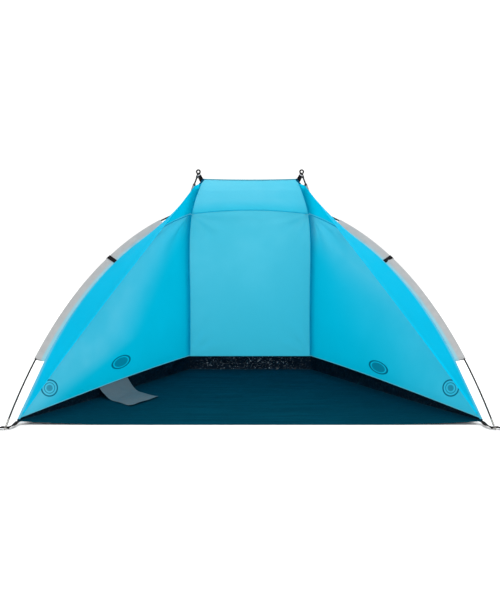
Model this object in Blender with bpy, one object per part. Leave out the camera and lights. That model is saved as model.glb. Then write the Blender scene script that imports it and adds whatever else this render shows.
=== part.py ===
"""Beach shelter: a sewn shell on one long hoop and two rear poles. Metres, +Z up, open side towards -Y.

The shapes are worked out with the floor's front edge on y = 0, and the parent empty then
brings the middle of the whole footprint to the origin.
"""

import math

import bmesh
import bpy
import numpy as np

# Ground plan, measured on the foot of the sewn shell.
FLOOR_FRONT_WIDTH = 2.20
FLOOR_REAR_WIDTH = 0.76
FLOOR_DEPTH = 1.20
FLOOR_THICKNESS = 0.002
FLOOR_SEAM_ALLOWANCE = 0.004
CORNER_LIFT = 0.017
FLAT_WIDTH_SHARE = 0.5
FLOOR_ROWS, FLOOR_COLUMNS = 8, 16

# Sewn shell.
CLOTH_THICKNESS = 0.002
SEAM_GAP = 0.0004
SEAT_GAP = 0.0003
MITRE_CUTOFF_SHARE = 0.08
SKIRT_HEIGHT = 0.083
SKIRT_TOE_HEIGHT = 0.008
SKIRT_CURVE_SHARE = 1.8
REAR_SEAM_BOW_HEIGHT = 0.50
REAR_SEAM_BOW_AHEAD = 0.040
REAR_SEAM_BOW_IN = 0.008
TOP_CORNER_HEIGHT = 1.1415
TOP_CORNER_DEPTH = 0.625
TOP_CORNER_WIDTH = 0.530
TOP_CUT_IN = 0.020
TOP_CUT_AHEAD = 0.015
TOP_CUT_RISE = 0.021
TOP_EDGE_SAG = 0.004
ROOF_SEAM_RISE = 0.022
HEM_TOE = 0.012
HEM_TIP_OUT = 0.031
HEM_TIP_BACK = 0.025
HEM_TIP_DROP = 0.013
HEM_HOLLOW = 0.016
WALL_ROWS, WALL_COLUMNS = 16, 6
HOOD_COLUMNS, REAR_COLUMNS = 4, 6

# Hoop: one long jointed pole that leans back from two feet ahead of the floor.
HOOP_FOOT_BEYOND_FLOOR = 0.035
HOOP_FOOT_AHEAD = 0.089
HOOP_RISE = 1.50
HOOP_LEAN = math.radians(45)
HOOP_FOOT_ANGLE = math.radians(82)
HOOP_FOOT_PULL = 0.95
HOOP_TOP_PULL = 0.55
HOOP_SEGMENTS = 60
HOOP_SECTION_COUNT = 6

# Glass-fibre tube, its joining ferrules and the elastic cord inside it.
POLE_DIAMETER = 0.0085
POLE_BORE = 0.0042
FERRULE_LENGTH = 0.10
FERRULE_WALL = 0.0008
POLE_FIT = 0.0003
CORD_DIAMETER = 0.0024
POLE_SIDES, CORD_SIDES = 8, 6

# Metal foot tip of each pole.
PIN_DIAMETER = 0.005
PIN_LENGTH = 0.024
PIN_POINT_SHARE = 0.7
TIP_SOCKET_DEPTH = 0.030
TIP_WALL = 0.0009
TIP_FLOOR = 0.004

# Sleeves.
FRONT_SLEEVE_START = 0.40
FRONT_SLEEVE_LENGTH = 1.10
FRONT_SLEEVE_DROP = 0.046
REAR_SLEEVE_START = 0.13
REAR_SLEEVE_DROP = 0.033
REAR_SLEEVE_SIDE = (-0.75, 0.60, 0.50)
REAR_SLEEVE_SHORT_OF_CORNER = 0.062
SLEEVE_BORE = 0.0120
SLEEVE_CLOTH = 0.0015
SLEEVE_ROOT_GAP = 0.0040
SLEEVE_WEB = 0.0014
SLEEVE_SIDES = 9
SLEEVE_OPENING = math.radians(60)
BAND_DISTANCE = 1.12
BAND_WIDTH = 0.023
BAND_THICKNESS = 0.0018

# Rear poles.
REAR_SEGMENTS = 20
REAR_SECTION_COUNT = 2
REAR_TIP_BEYOND = 0.046

# Cap with an eye on the top end of each rear pole, and the tab that ties it to the cloth.
CAP_WALL = 0.0018
CAP_DEPTH = 0.028
CAP_FLOOR = 0.004
EYE_DIAMETER = 0.0270
EYE_THICKNESS = 0.0080
EYE_NECK_LENGTH = 0.0085
EYE_NECK_DIAMETER = 0.0070
CAP_SIDES, EYE_SECTION_SIDES = 12, 8
TAB_WIDTH = 0.024
TAB_THICKNESS = 0.0020
TAB_CLEARANCE = 0.0006
TAB_EYE_CLEARANCE = 0.0012
TAB_TOP_SHARE = 0.8
TAB_OVER_EYE = 0.002

# Clip that holds the hoop above each rear pole, and its tape.
CROSSING_DISTANCE = 1.676
CLIP_BEYOND_CROSSING = 0.034
CLIP_WIDTH = 0.014
CLIP_WALL = 0.0030
CLIP_MOUTH = math.radians(100)
CLIP_POINTS = 11
CLIP_TAPE_WIDTH = 0.015
CLIP_TAPE_THICKNESS = 0.0015
CLIP_TAPE_CLEARANCE = 0.0014

# Webbing at the four ground corners.
WEBBING_WIDTH = 0.022
WEBBING_THICKNESS = 0.0020
STRAP_UNDER_FLOOR = 0.020
STRAP_RUN = (1.0, 2.2, 0.0)
STRAP_CLEARANCE = 0.0008
STRAP_TURN_AHEAD = 0.045
STRAP_TURN_DROP_SHARE = 0.33
STRAP_EYELET_REACH = 0.014
STRAP_END_REACH = 0.030
STRAP_TAIL_FLAT = 0.006
STRAP_END_HEIGHT = 0.0022
FRONT_EYELET_HEIGHT = 0.0100
REAR_EYELET_HEIGHT = 0.0030
LOOP_LENGTH = 0.062
LOOP_HOLE_LENGTH = 0.030
LOOP_BORDER = 0.0050
LOOP_ARC_POINTS = 6
EYELET_BORE = 0.0064
EYELET_BARREL = 0.0090
EYELET_FLANGE = 0.0160
EYELET_SHEET = 0.0007
EYELET_SIDES = 12

# Loose cloth flap sewn into the foot of the left wall.
FLAP_START_SHARE = 0.407
FLAP_END_SHARE = 0.573
FLAP_LENGTH = 0.27
FLAP_SWING = math.radians(-12)
FLAP_DROP_SHARE = 0.42
FLAP_ROOT_GAP = 0.0026
FLAP_CLEARANCE = 0.0008
FLAP_ROWS, FLAP_COLUMNS = 12, 4

CUTTER_OVERRUN = 0.010
SHARP_FROM = math.radians(35)
UP = np.array([0.0, 0.0, 1.0])
MIRROR = np.array([-1.0, 1.0, 1.0])


def clear_scene():
    for found in list(bpy.data.objects):
        bpy.data.objects.remove(found)


def material(name, colour, roughness, metallic=0.0):
    made = bpy.data.materials.new(name)
    made.use_nodes = True
    shader = made.node_tree.nodes["Principled BSDF"]
    shader.inputs["Base Color"].default_value = (*colour, 1.0)
    shader.inputs["Roughness"].default_value = roughness
    shader.inputs["Metallic"].default_value = metallic
    return made


def unit(vectors):
    vectors = np.asarray(vectors, float)
    return vectors / np.linalg.norm(vectors, axis=-1, keepdims=True)


def lengths_along(points):
    steps = np.linalg.norm(np.diff(points, axis=0), axis=1)
    return np.concatenate([[0.0], np.cumsum(steps)])


def evenly(points, count):
    """The polyline again, as count equal stretches."""
    points = np.asarray(points, float)
    along = lengths_along(points)
    at = np.linspace(0.0, along[-1], count + 1)
    return np.stack([np.interp(at, along, points[:, k]) for k in range(3)], axis=1)


def natural_spline(points, samples=400):
    """A dense polyline on the cubic spline with free ends through the points, like a bent rod."""
    points = np.asarray(points, float)
    knots = lengths_along(points)
    gaps = np.diff(knots)
    last = len(points) - 1
    system = np.eye(last + 1)
    right = np.zeros_like(points)
    for k in range(1, last):
        before, after = gaps[k - 1], gaps[k]
        system[k, k - 1 : k + 2] = before, 2 * (before + after), after
        slope_after = (points[k + 1] - points[k]) / after
        slope_before = (points[k] - points[k - 1]) / before
        right[k] = 6 * (slope_after - slope_before)
    bend = np.linalg.solve(system, right)
    at = np.linspace(0.0, knots[-1], samples + 1)
    span = np.clip(np.searchsorted(knots, at, side="right") - 1, 0, last - 1)
    gap = gaps[span][:, None]
    ahead = (knots[span + 1] - at)[:, None]
    behind = (at - knots[span])[:, None]
    curve = (bend[span] * ahead**3 + bend[span + 1] * behind**3) / (6 * gap)
    curve += (points[span] / gap - bend[span] * gap / 6) * ahead
    return curve + (points[span + 1] / gap - bend[span + 1] * gap / 6) * behind


def bezier(start, first, second, end, samples=400):
    t = np.linspace(0.0, 1.0, samples + 1)[:, None]
    return (
        (1 - t) ** 3 * start
        + 3 * (1 - t) ** 2 * t * first
        + 3 * (1 - t) * t**2 * second
        + t**3 * end
    )


class Path:
    """A polyline with two directions across it, so that everything swept on it nests."""

    def __init__(self, points, towards):
        self.points = np.asarray(points, float)
        self.along = lengths_along(self.points)
        tangent = unit(np.gradient(self.points, self.along, axis=0))
        towards = np.broadcast_to(np.asarray(towards, float), tangent.shape)
        across = towards - (towards * tangent).sum(1, keepdims=True) * tangent
        self.tangent = tangent
        self.across = unit(across)
        self.normal = np.cross(tangent, self.across)

    @property
    def length(self):
        return self.along[-1]

    def at(self, distance, field):
        return np.array([np.interp(distance, self.along, field[:, k]) for k in range(3)])

    def point(self, distance, across=0.0, normal=0.0):
        place = self.at(distance, self.points)
        place = place + across * self.at(distance, self.across)
        return place + normal * self.at(distance, self.normal)

    def direction(self, distance):
        return unit(self.at(distance, self.tangent))

    def stations(self, start, end):
        inside = [d for d in self.along if start + POLE_FIT < d < end - POLE_FIT]
        return [start, *inside, end]

    def ring(self, distance, outline):
        return np.array([self.point(distance, a, b) for a, b in outline])


def circle(diameter, sides, phase=0.0):
    turn = phase + 2 * math.pi * np.arange(sides) / sides
    return [(diameter / 2 * math.cos(a), diameter / 2 * math.sin(a)) for a in turn]


def add_object(name, points, faces, made_of, origin=(0.0, 0.0, 0.0)):
    """A closed mesh with its faces turned out, its place taken from the shelter's parent empty."""
    origin = np.asarray(origin, float)
    mesh = bpy.data.meshes.new(name)
    build = bmesh.new()
    corners = [build.verts.new(np.asarray(p, float) - origin) for p in points]
    for face in faces:
        build.faces.new([corners[k] for k in face])
    bmesh.ops.recalc_face_normals(build, faces=build.faces)
    build.to_mesh(mesh)
    build.free()
    mesh.shade_smooth()
    mesh.set_sharp_from_angle(angle=SHARP_FROM)
    mesh.materials.append(made_of)
    made = bpy.data.objects.new(name, mesh)
    made.location = origin
    made.parent = GROUND_CENTRE
    bpy.context.scene.collection.objects.link(made)
    return made


def halved(one, two, three, four, from_first):
    """A twisted four-cornered face as two triangles, with the same diagonal on both faces of a sheet."""
    if from_first:
        return [(one, two, three), (one, three, four)]
    return [(one, two, four), (two, three, four)]


def loft(name, rings, made_of, ring_shaped=False, origin=(0.0, 0.0, 0.0)):
    """Faces between neighbouring rings. The ends are capped, or joined where the rings go out and back."""
    count = len(rings[0])
    points = np.concatenate(rings)
    faces = []
    last = len(rings) if ring_shaped else len(rings) - 1
    for k in range(last):
        low, high = k * count, (k + 1) % len(rings) * count
        for j in range(count):
            faces += halved(low + j, low + (j + 1) % count, high + (j + 1) % count, high + j, j < count // 2)
    if not ring_shaped:
        faces.append(tuple(range(count)))
        faces.append(tuple(range(len(points) - count, len(points))))
    return add_object(name, points, faces, made_of, origin)


def hollow_tube(name, path, start, end, outer, inner, made_of):
    stations = path.stations(start, end)
    rings = [path.ring(d, outer) for d in stations]
    rings += [path.ring(d, inner) for d in reversed(stations)]
    return loft(name, rings, made_of, ring_shaped=True)


def turned(name, path, profile, sides, made_of):
    """A solid turned about the path: its profile is (distance, diameter) from one cap to the other."""
    rings = []
    for (start, wide), (end, next_wide) in zip(profile, profile[1:]):
        between = path.stations(min(start, end), max(start, end))[1:-1] if wide == next_wide else []
        along = [start, *(between if start < end else between[::-1])]
        rings += [path.ring(d, circle(wide, sides)) for d in along]
    end, wide = profile[-1]
    rings.append(path.ring(end, circle(wide, sides)))
    return loft(name, rings, made_of)


def mirrored(left, name):
    """The same piece on the other side of the shelter."""
    mesh = left.data.copy()
    mesh.name = name
    flip = bmesh.new()
    flip.from_mesh(mesh)
    for corner in flip.verts:
        corner.co.x = -corner.co.x
    bmesh.ops.reverse_faces(flip, faces=flip.faces)
    flip.to_mesh(mesh)
    flip.free()
    made = bpy.data.objects.new(name, mesh)
    made.location = left.location
    made.location.x = -left.location.x
    made.parent = GROUND_CENTRE
    bpy.context.scene.collection.objects.link(made)
    return made


def boolean(target, tool, operation):
    tool.hide_render = True
    tool.display_type = "WIRE"
    cut = target.modifiers.new(tool.name, "BOOLEAN")
    cut.operation = operation
    cut.object = tool


def both_sides(left):
    """Adds the right-hand copy of a piece whose name starts with left."""
    return left, mirrored(left, left.name.replace("left", "right", 1))


def half_width(depth):
    """Half the ground plan's width at this depth."""
    share = depth / FLOOR_DEPTH
    return (FLOOR_FRONT_WIDTH * (1 - share) + FLOOR_REAR_WIDTH * share) / 2


def floor_height(x, y):
    """Underside of the floor: flat, with its two front corners drawn up."""
    depth_share = min(max(y / FLOOR_DEPTH, 0.0), 1.0)
    width_share = min(abs(x) / half_width(depth_share * FLOOR_DEPTH), 1.0)
    outside = max(width_share - FLAT_WIDTH_SHARE, 0.0) / (1 - FLAT_WIDTH_SHARE)
    return CORNER_LIFT * outside**2 * (1 - depth_share) ** 3


def hoop_path():
    """Half of the hoop is one smooth arc in its leaning plane, from the foot to the top."""
    half = FLOOR_FRONT_WIDTH / 2 + HOOP_FOOT_BEYOND_FLOOR
    foot = np.array([-half, 0.0])
    lean_in = np.array([math.cos(HOOP_FOOT_ANGLE), math.sin(HOOP_FOOT_ANGLE)])
    top = np.array([0.0, HOOP_RISE])
    arc = bezier(foot, foot + HOOP_FOOT_PULL * lean_in, top - [HOOP_TOP_PULL, 0.0], top)
    whole = np.concatenate([arc, arc[-2::-1] * [-1.0, 1.0]])
    depth = whole[:, 1] * math.cos(HOOP_LEAN) - HOOP_FOOT_AHEAD
    height = whole[:, 1] * math.sin(HOOP_LEAN)
    points = evenly(np.stack([whole[:, 0], depth, height], axis=1), HOOP_SEGMENTS)
    plane_normal = np.array([0.0, -math.sin(HOOP_LEAN), math.cos(HOOP_LEAN)])
    tangent = unit(np.gradient(points, axis=0))
    return Path(points, np.cross(plane_normal, tangent) * -1.0)


def side_curves():
    """The left side's seams and hem, from the ground to the top, and the rear pole's path."""
    toe_height = CORNER_LIFT + FLOOR_THICKNESS + SEAT_GAP + SKIRT_TOE_HEIGHT
    toe = np.array([-FLOOR_FRONT_WIDTH / 2, 0.0, toe_height])
    mouth, crossing = FRONT_SLEEVE_START, CROSSING_DISTANCE
    on_sleeve = [d for d in HOOP.along if mouth < d < crossing]
    seam = [HOOP.point(d, across=FRONT_SLEEVE_DROP) for d in [mouth, *on_sleeve, crossing]]
    front_seam = evenly([toe, *seam], WALL_ROWS)
    top_corner = np.array([-TOP_CORNER_WIDTH / 2, TOP_CORNER_DEPTH, TOP_CORNER_HEIGHT])
    hem_tip = top_corner + [-HEM_TIP_OUT, HEM_TIP_BACK, -HEM_TIP_DROP]
    hem = hollow_hem(toe + [HEM_TOE, 0.0, 0.0], hem_tip, front_seam[:-1])
    rear_foot = np.array([-FLOOR_REAR_WIDTH / 2, FLOOR_DEPTH, 0.0])
    bow = rear_foot + [REAR_SEAM_BOW_IN, -REAR_SEAM_BOW_AHEAD, REAR_SEAM_BOW_HEIGHT]
    curve = natural_spline([rear_foot, bow, seam[-1], top_corner])
    crossing_at = np.argmin(np.linalg.norm(curve - seam[-1], axis=1))
    foot_top = SKIRT_HEIGHT + FLOOR_THICKNESS + SEAT_GAP
    lower = curve[: crossing_at + 1]
    lower = lower[lower[:, 2] > foot_top]
    lower = np.concatenate([[[*rear_foot[:2], foot_top]], lower])
    lower[-1] = seam[-1]
    upper = curve[crossing_at:]
    upper[0] = seam[-1]
    return (
        front_seam,
        np.concatenate([hem, [top_corner]]),
        evenly(lower, WALL_ROWS),
        evenly(upper, HOOD_COLUMNS),
        curve,
    )


def hollow_hem(toe, tip, seam):
    """The hood's free hem is cut hollow towards its seam, which keeps it taut up to the rear sleeve."""
    straight = evenly([toe, tip], WALL_ROWS - 1)
    run = unit(tip - toe)
    share = np.linspace(0.0, 1.0, WALL_ROWS)[:, None]
    to_seam = seam - straight
    to_seam -= (to_seam @ run)[:, None] * run
    return straight + 4 * HEM_HOLLOW * share * (1 - share) * unit(to_seam)


def top_edge(corner):
    """The roof's free edge: it is cut off slanting under each tab, and sags a little between the tabs."""
    cut = corner + [TOP_CUT_IN, -TOP_CUT_AHEAD, TOP_CUT_RISE]
    share = np.linspace(-1.0, 1.0, REAR_COLUMNS - 1)
    between = [[-cut[0] * s, cut[1], cut[2] - TOP_EDGE_SAG * (1 - s**2)] for s in share]
    return np.array([corner, *between, corner * MIRROR])


def rear_path():
    """The left rear pole runs a sleeve's width outside the rear seam, to the end of its cap's neck."""
    outward = np.array(REAR_SLEEVE_SIDE)
    seam = evenly(REAR_CURVE, REAR_SEGMENTS)
    tangent = unit(np.gradient(seam, axis=0))
    side = unit(outward - (tangent * outward).sum(1, keepdims=True) * tangent)
    pole = seam + REAR_SLEEVE_DROP * side
    beyond = pole[-1] + (REAR_TIP_BEYOND + EYE_NECK_LENGTH) * unit(pole[-1] - pole[-2])
    ground = pole[0] - unit(pole[1] - pole[0]) * pole[0][2] / unit(pole[1] - pole[0])[2]
    points = np.concatenate([[ground], pole[1:], [beyond]])
    side = np.concatenate([side, side[-1:]])
    return Path(points, -side)


def side_wall_grid(front_seam, rear_seam):
    """Straight threads from the rear seam to the hoop's seam, over a foot that follows the skirt's top."""
    share = np.linspace(0.0, 1.0, WALL_COLUMNS + 1)[None, :, None]
    grid = rear_seam[:, None] + share * (front_seam - rear_seam)[:, None]
    foot = np.array([skirt_top(p)[2] - p[2] for p in grid[0]])
    fade = np.linspace(1.0, 0.0, WALL_ROWS + 1)[:, None] ** 2
    grid[:, :, 2] += fade * foot
    return grid


def skirt_top(point):
    """The top of the skirt above a point of the floor's side edge: it rises quickly and then levels off."""
    share = 1 - point[1] / FLOOR_DEPTH
    rise = 1 - share**SKIRT_CURVE_SHARE
    height = SKIRT_TOE_HEIGHT + (SKIRT_HEIGHT - SKIRT_TOE_HEIGHT) * rise
    bottom = floor_height(point[0], point[1]) + FLOOR_THICKNESS + SEAT_GAP
    return np.array([point[0], point[1], bottom + height])


def hood_grid(front_seam, hem, top_seam):
    """The panel from the hoop seam to the free hem, and up to the roof."""
    share = np.linspace(0.0, 1.0, HOOD_COLUMNS + 1)[:, None]
    straight_top = top_seam[0] + share * (top_seam[-1] - top_seam[0])
    arch = top_seam - straight_top
    rows = []
    for k in range(WALL_ROWS + 1):
        rise = (k / WALL_ROWS) ** 2
        rows.append(front_seam[k] + share * (hem[k] - front_seam[k]) + rise * arch)
    return np.array(rows)


def across_grid(left_edge, rise_low, rise_high):
    """A panel between an edge and its mirror image, arched across at its two ends."""
    share = np.linspace(-1.0, 1.0, REAR_COLUMNS + 1)
    rows = []
    for k, point in enumerate(left_edge):
        up = k / (len(left_edge) - 1)
        rise = rise_low * (1 - up) ** 2 + rise_high * up**2
        row = np.array([[-point[0] * s, point[1], point[2] + rise * (1 - s**2)] for s in share])
        rows.append(row)
    return np.array(rows)


def skirt_grid(side_row, rear_row):
    """One strip along the floor's left, rear and right edges."""
    top = np.concatenate([side_row[::-1], rear_row[1:-1], side_row * MIRROR])
    bottom = top.copy()
    for point in bottom:
        seat = FLOOR_THICKNESS + SEAT_GAP
        point[2] = floor_height(point[0], point[1]) + seat
    return np.array([bottom, top])


def face_normals(grid, outside):
    """A normal for each cell of a grid, turned to the outside of the shell."""
    one = grid[1:, 1:] - grid[:-1, :-1]
    two = grid[:-1, 1:] - grid[1:, :-1]
    normals = np.cross(one, two)
    return unit(normals) * outside


def mitres(grids):
    """For every point of the shell, the vector that keeps all its faces the same distance away."""
    found = {}
    for grid, outside in grids:
        normals = face_normals(grid, outside)
        rows, columns = normals.shape[:2]
        for i in range(rows + 1):
            for j in range(columns + 1):
                key = tuple(np.round(grid[i, j], 6))
                for a in (i - 1, i):
                    for b in (j - 1, j):
                        if 0 <= a < rows and 0 <= b < columns:
                            found.setdefault(key, []).append(normals[a, b])
    solved = {}
    for key, normals in found.items():
        wanted = np.ones(len(normals))
        solved[key] = np.linalg.lstsq(np.array(normals), wanted, rcond=MITRE_CUTOFF_SHARE)[0]
    return solved


def seam_inset(grid, i, j, sewn):
    """How a point on a sewn edge draws back from the seam, within its own panel."""
    rows, columns = grid.shape[0] - 1, grid.shape[1] - 1
    if np.allclose(grid[i, 0], grid[i, -1]):
        return 2 * SEAM_GAP * unit(grid[i - 1].mean(axis=0) - grid[i, j])
    back = np.zeros(3)
    sides = (
        ("start", j == 0, (i, 1), (min(i + 1, rows), j), (max(i - 1, 0), j)),
        ("end", j == columns, (i, columns - 1), (min(i + 1, rows), j), (max(i - 1, 0), j)),
        ("bottom", i == 0, (1, j), (i, min(j + 1, columns)), (i, max(j - 1, 0))),
        ("top", i == rows, (rows - 1, j), (i, min(j + 1, columns)), (i, max(j - 1, 0))),
    )
    for side, on_it, inner, one, other in sides:
        if side in sewn and on_it:
            edge = unit(grid[one] - grid[other])
            inward = grid[inner] - grid[i, j]
            back += SEAM_GAP * unit(inward - (inward @ edge) * edge)
    return back


def grid_faces(rows, columns):
    """Faces of a closed sheet whose points are one side's grid and then the other's."""
    width, half = columns + 1, (rows + 1) * (columns + 1)
    faces = []
    for i in range(rows):
        for j in range(columns):
            near, far = i * width + j, (i + 1) * width + j
            faces += halved(near, near + 1, far + 1, far, True)
            near, far = half + near, half + far
            faces += halved(far, far + 1, near + 1, near, False)
    rim = [j for j in range(columns)] + [i * width + columns for i in range(rows)]
    rim += [rows * width + j for j in range(columns, 0, -1)] + [i * width for i in range(rows, 0, -1)]
    for a, b in zip(rim, rim[1:] + rim[:1]):
        faces.append((a, b, half + b, half + a))
    return faces


def welded(points, faces):
    """Points that coincide made one, as at the tip of a panel, and the faces that vanish there left out."""
    _, first, index = np.unique(np.round(points, 7), axis=0, return_index=True, return_inverse=True)
    index = index.reshape(-1)
    kept = [list(dict.fromkeys(index[list(face)])) for face in faces]
    return points[first], [face for face in kept if len(face) > 2]


def cloth_panel(name, grid, solved, sewn, made_of, origin=(0.0, 0.0, 0.0)):
    """A closed sheet of even thickness, mitred against its neighbours at the sewn edges."""
    rows, columns = grid.shape[0] - 1, grid.shape[1] - 1
    outer, inner = np.zeros_like(grid), np.zeros_like(grid)
    for i in range(rows + 1):
        for j in range(columns + 1):
            out = solved[tuple(np.round(grid[i, j], 6))] * CLOTH_THICKNESS / 2
            place = grid[i, j] + seam_inset(grid, i, j, sewn)
            outer[i, j], inner[i, j] = place + out, place - out
    points = np.concatenate([outer.reshape(-1, 3), inner.reshape(-1, 3)])
    return add_object(name, *welded(points, grid_faces(rows, columns)), made_of, origin)


def sewn_shell():
    """Floor, skirt, walls, hood panels and roof."""
    front_seam, hem, rear_seam, top_seam, _ = SIDE
    wall = side_wall_grid(front_seam, rear_seam)
    hood = hood_grid(front_seam, hem, top_seam)
    rear = across_grid(rear_seam, 0.0, ROOF_SEAM_RISE)
    roof = across_grid(top_seam, ROOF_SEAM_RISE, 0.0)
    roof[-1] = top_edge(top_seam[-1])
    skirt = skirt_grid(wall[0], rear[0])
    grids = [(wall, 1), (wall * MIRROR, -1), (hood, 1), (hood * MIRROR, -1)]
    grids += [(rear, -1), (roof, -1), (skirt, -1)]
    solved = mitres(grids)
    both_sides(cloth_panel("left_side_wall", wall, solved, ("start", "end", "bottom"), WALL_CLOTH))
    both_sides(cloth_panel("left_hood_panel", hood, solved, ("start", "top"), HOOD_CLOTH))
    cloth_panel("rear_wall", rear, solved, ("start", "end", "bottom", "top"), WALL_CLOTH)
    cloth_panel("roof_panel", roof, solved, ("start", "end", "bottom"), HOOD_CLOTH)
    cloth_panel("ground_skirt", skirt, solved, ("top",), SKIRT_CLOTH)
    return wall


def floor_sheet():
    """The floor reaches a seam allowance past the shell, and lies flat but for its front corners."""
    across = np.linspace(-1.0, 1.0, FLOOR_COLUMNS + 1)
    low = []
    for share in np.linspace(0.0, 1.0, FLOOR_ROWS + 1):
        y = share * (FLOOR_DEPTH + 2 * FLOOR_SEAM_ALLOWANCE) - FLOOR_SEAM_ALLOWANCE
        sewn = half_width(share * FLOOR_DEPTH)
        reach = sewn + FLOOR_SEAM_ALLOWANCE
        low.append([[s * reach, y, floor_height(s * sewn, y)] for s in across])
    low = np.array(low)
    high = low + FLOOR_THICKNESS * UP
    points = np.concatenate([low.reshape(-1, 3), high.reshape(-1, 3)])
    add_object("floor_sheet", points, grid_faces(FLOOR_ROWS, FLOOR_COLUMNS), FLOOR_CLOTH)


def jointed_pole(prefix, path, start, end, sections):
    """Tube sections end to end, a ferrule over each joint, and the elastic cord through them all."""
    outer = circle(POLE_DIAMETER, POLE_SIDES)
    bore = circle(POLE_BORE, POLE_SIDES)
    joints = np.linspace(start, end, sections + 1)
    for k in range(sections):
        low = joints[k] + (SEAT_GAP / 2 if k else 0.0)
        high = joints[k + 1] - (SEAT_GAP / 2 if k < sections - 1 else 0.0)
        hollow_tube(f"{prefix}_section_{k + 1}", path, low, high, outer, bore, GLASS_FIBRE)
    inside = POLE_DIAMETER + 2 * POLE_FIT
    outside = inside + 2 * FERRULE_WALL
    for k in range(1, sections):
        low, high = joints[k] - FERRULE_LENGTH / 2, joints[k] + FERRULE_LENGTH / 2
        rings = circle(outside, POLE_SIDES), circle(inside, POLE_SIDES)
        hollow_tube(f"{prefix}_ferrule_{k}", path, low, high, *rings, FERRULE_METAL)
    cord = circle(CORD_DIAMETER, CORD_SIDES)
    stations = path.stations(start, end)
    loft(f"{prefix}_shock_cord", [path.ring(d, cord) for d in stations], CORD_RUBBER)


def foot_tip(name, path):
    """A pin that stands on the ground, with a socket over the end of the pole."""
    bore = POLE_DIAMETER + 2 * POLE_FIT
    body = bore + 2 * TIP_WALL
    seat = PIN_LENGTH + TIP_FLOOR
    mouth = seat + TIP_SOCKET_DEPTH
    rise = path.direction(0.0)[2]
    point = PIN_DIAMETER * PIN_POINT_SHARE
    low = point / 2 * math.sqrt(1 - rise**2) / rise
    profile = ((low, point), (low + PIN_DIAMETER / 2, PIN_DIAMETER), (PIN_LENGTH, PIN_DIAMETER))
    profile += ((PIN_LENGTH, body), (mouth, body), (mouth, bore), (seat, bore))
    return turned(name, path, profile, POLE_SIDES, TIP_METAL)


def sleeve_outline(drop, grow=0.0):
    """A sleeve's section: round over the pole, drawn to a flat web at the seam."""
    tube = SLEEVE_BORE + 2 * SLEEVE_CLOTH + 2 * grow
    web = SLEEVE_WEB / 2 + grow
    root = drop - SLEEVE_ROOT_GAP
    round_part = circle(tube, SLEEVE_SIDES, SLEEVE_OPENING)[:-2]
    return [(root, web), *round_part, (root, -web)]


def sleeve_bore():
    return circle(SLEEVE_BORE, SLEEVE_SIDES, SLEEVE_OPENING / 3)


def sleeves():
    start, end = FRONT_SLEEVE_START, FRONT_SLEEVE_START + FRONT_SLEEVE_LENGTH
    outer = sleeve_outline(FRONT_SLEEVE_DROP)
    both_sides(hollow_tube("left_front_sleeve", HOOP, start, end, outer, sleeve_bore(), SLEEVE_GREY))
    corner = REAR.length - REAR_TIP_BEYOND - EYE_NECK_LENGTH
    end = corner - REAR_SLEEVE_SHORT_OF_CORNER
    outer = sleeve_outline(REAR_SLEEVE_DROP)
    both_sides(
        hollow_tube("left_rear_sleeve", REAR, REAR_SLEEVE_START, end, outer, sleeve_bore(), SLEEVE_GREY)
    )


def sleeve_bands():
    """A strip of webbing over each front sleeve, sewn down at the seam on both faces."""
    under = sleeve_outline(FRONT_SLEEVE_DROP, SEAT_GAP)
    over = sleeve_outline(FRONT_SLEEVE_DROP, SEAT_GAP + BAND_THICKNESS)
    section = over + under[::-1]
    low, high = BAND_DISTANCE - BAND_WIDTH / 2, BAND_DISTANCE + BAND_WIDTH / 2
    rings = [HOOP.ring(d, section) for d in HOOP.stations(low, high)]
    both_sides(loft("left_sleeve_band", rings, WEBBING_BLACK))


def ribbon(name, stations, width, thickness, made_of, origin=(0.0, 0.0, 0.0)):
    """A flat strip through stations of (centre, width direction, widening)."""
    centres = np.array([s[0] for s in stations])
    run = unit(np.gradient(centres, axis=0))
    rings = []
    for (centre, wide, more), ahead in zip(stations, run):
        wide = unit(wide)
        up = unit(np.cross(ahead - (ahead @ wide) * wide, wide))
        side = wide * width * more / 2
        rise = up * thickness / 2
        corners = (-side - rise, side - rise, side + rise, rise - side)
        rings.append(np.array([centre + corner for corner in corners]))
    return loft(name, rings, made_of, origin=origin)


def eyelet(name, centre, axis):
    """A rolled metal eyelet: a barrel through the webbing with a flange on each face."""
    half = WEBBING_THICKNESS / 2 + SEAT_GAP
    edge = half + EYELET_SHEET
    side = unit(np.cross(axis, [1.0, 0.0, 0.0]))
    other = np.cross(axis, side)
    profile = (
        (EYELET_BORE, -edge),
        (EYELET_FLANGE, -edge),
        (EYELET_FLANGE, -half),
        (EYELET_BARREL, -half),
        (EYELET_BARREL, half),
        (EYELET_FLANGE, half),
        (EYELET_FLANGE, edge),
        (EYELET_BORE, edge),
    )
    rings = []
    for wide, up in profile:
        ring = [centre + up * axis + a * side + b * other for a, b in circle(wide, EYELET_SIDES)]
        rings.append(np.array(ring))
    return loft(name, rings, EYELET_METAL, ring_shaped=True)


def eyelet_hole(strap, centre, axis):
    """Cuts the barrel's hole through a strap."""
    side = unit(np.cross(axis, [1.0, 0.0, 0.0]))
    other = np.cross(axis, side)
    hole = circle(EYELET_BARREL + 2 * SEAT_GAP, EYELET_SIDES)
    rings = [
        np.array([centre + up * axis + a * side + b * other for a, b in hole])
        for up in (-CUTTER_OVERRUN, CUTTER_OVERRUN)
    ]
    cutter = loft(f"{strap.name}_hole_cutter", rings, strap.data.materials[0])
    boolean(strap, cutter, "DIFFERENCE")


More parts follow.
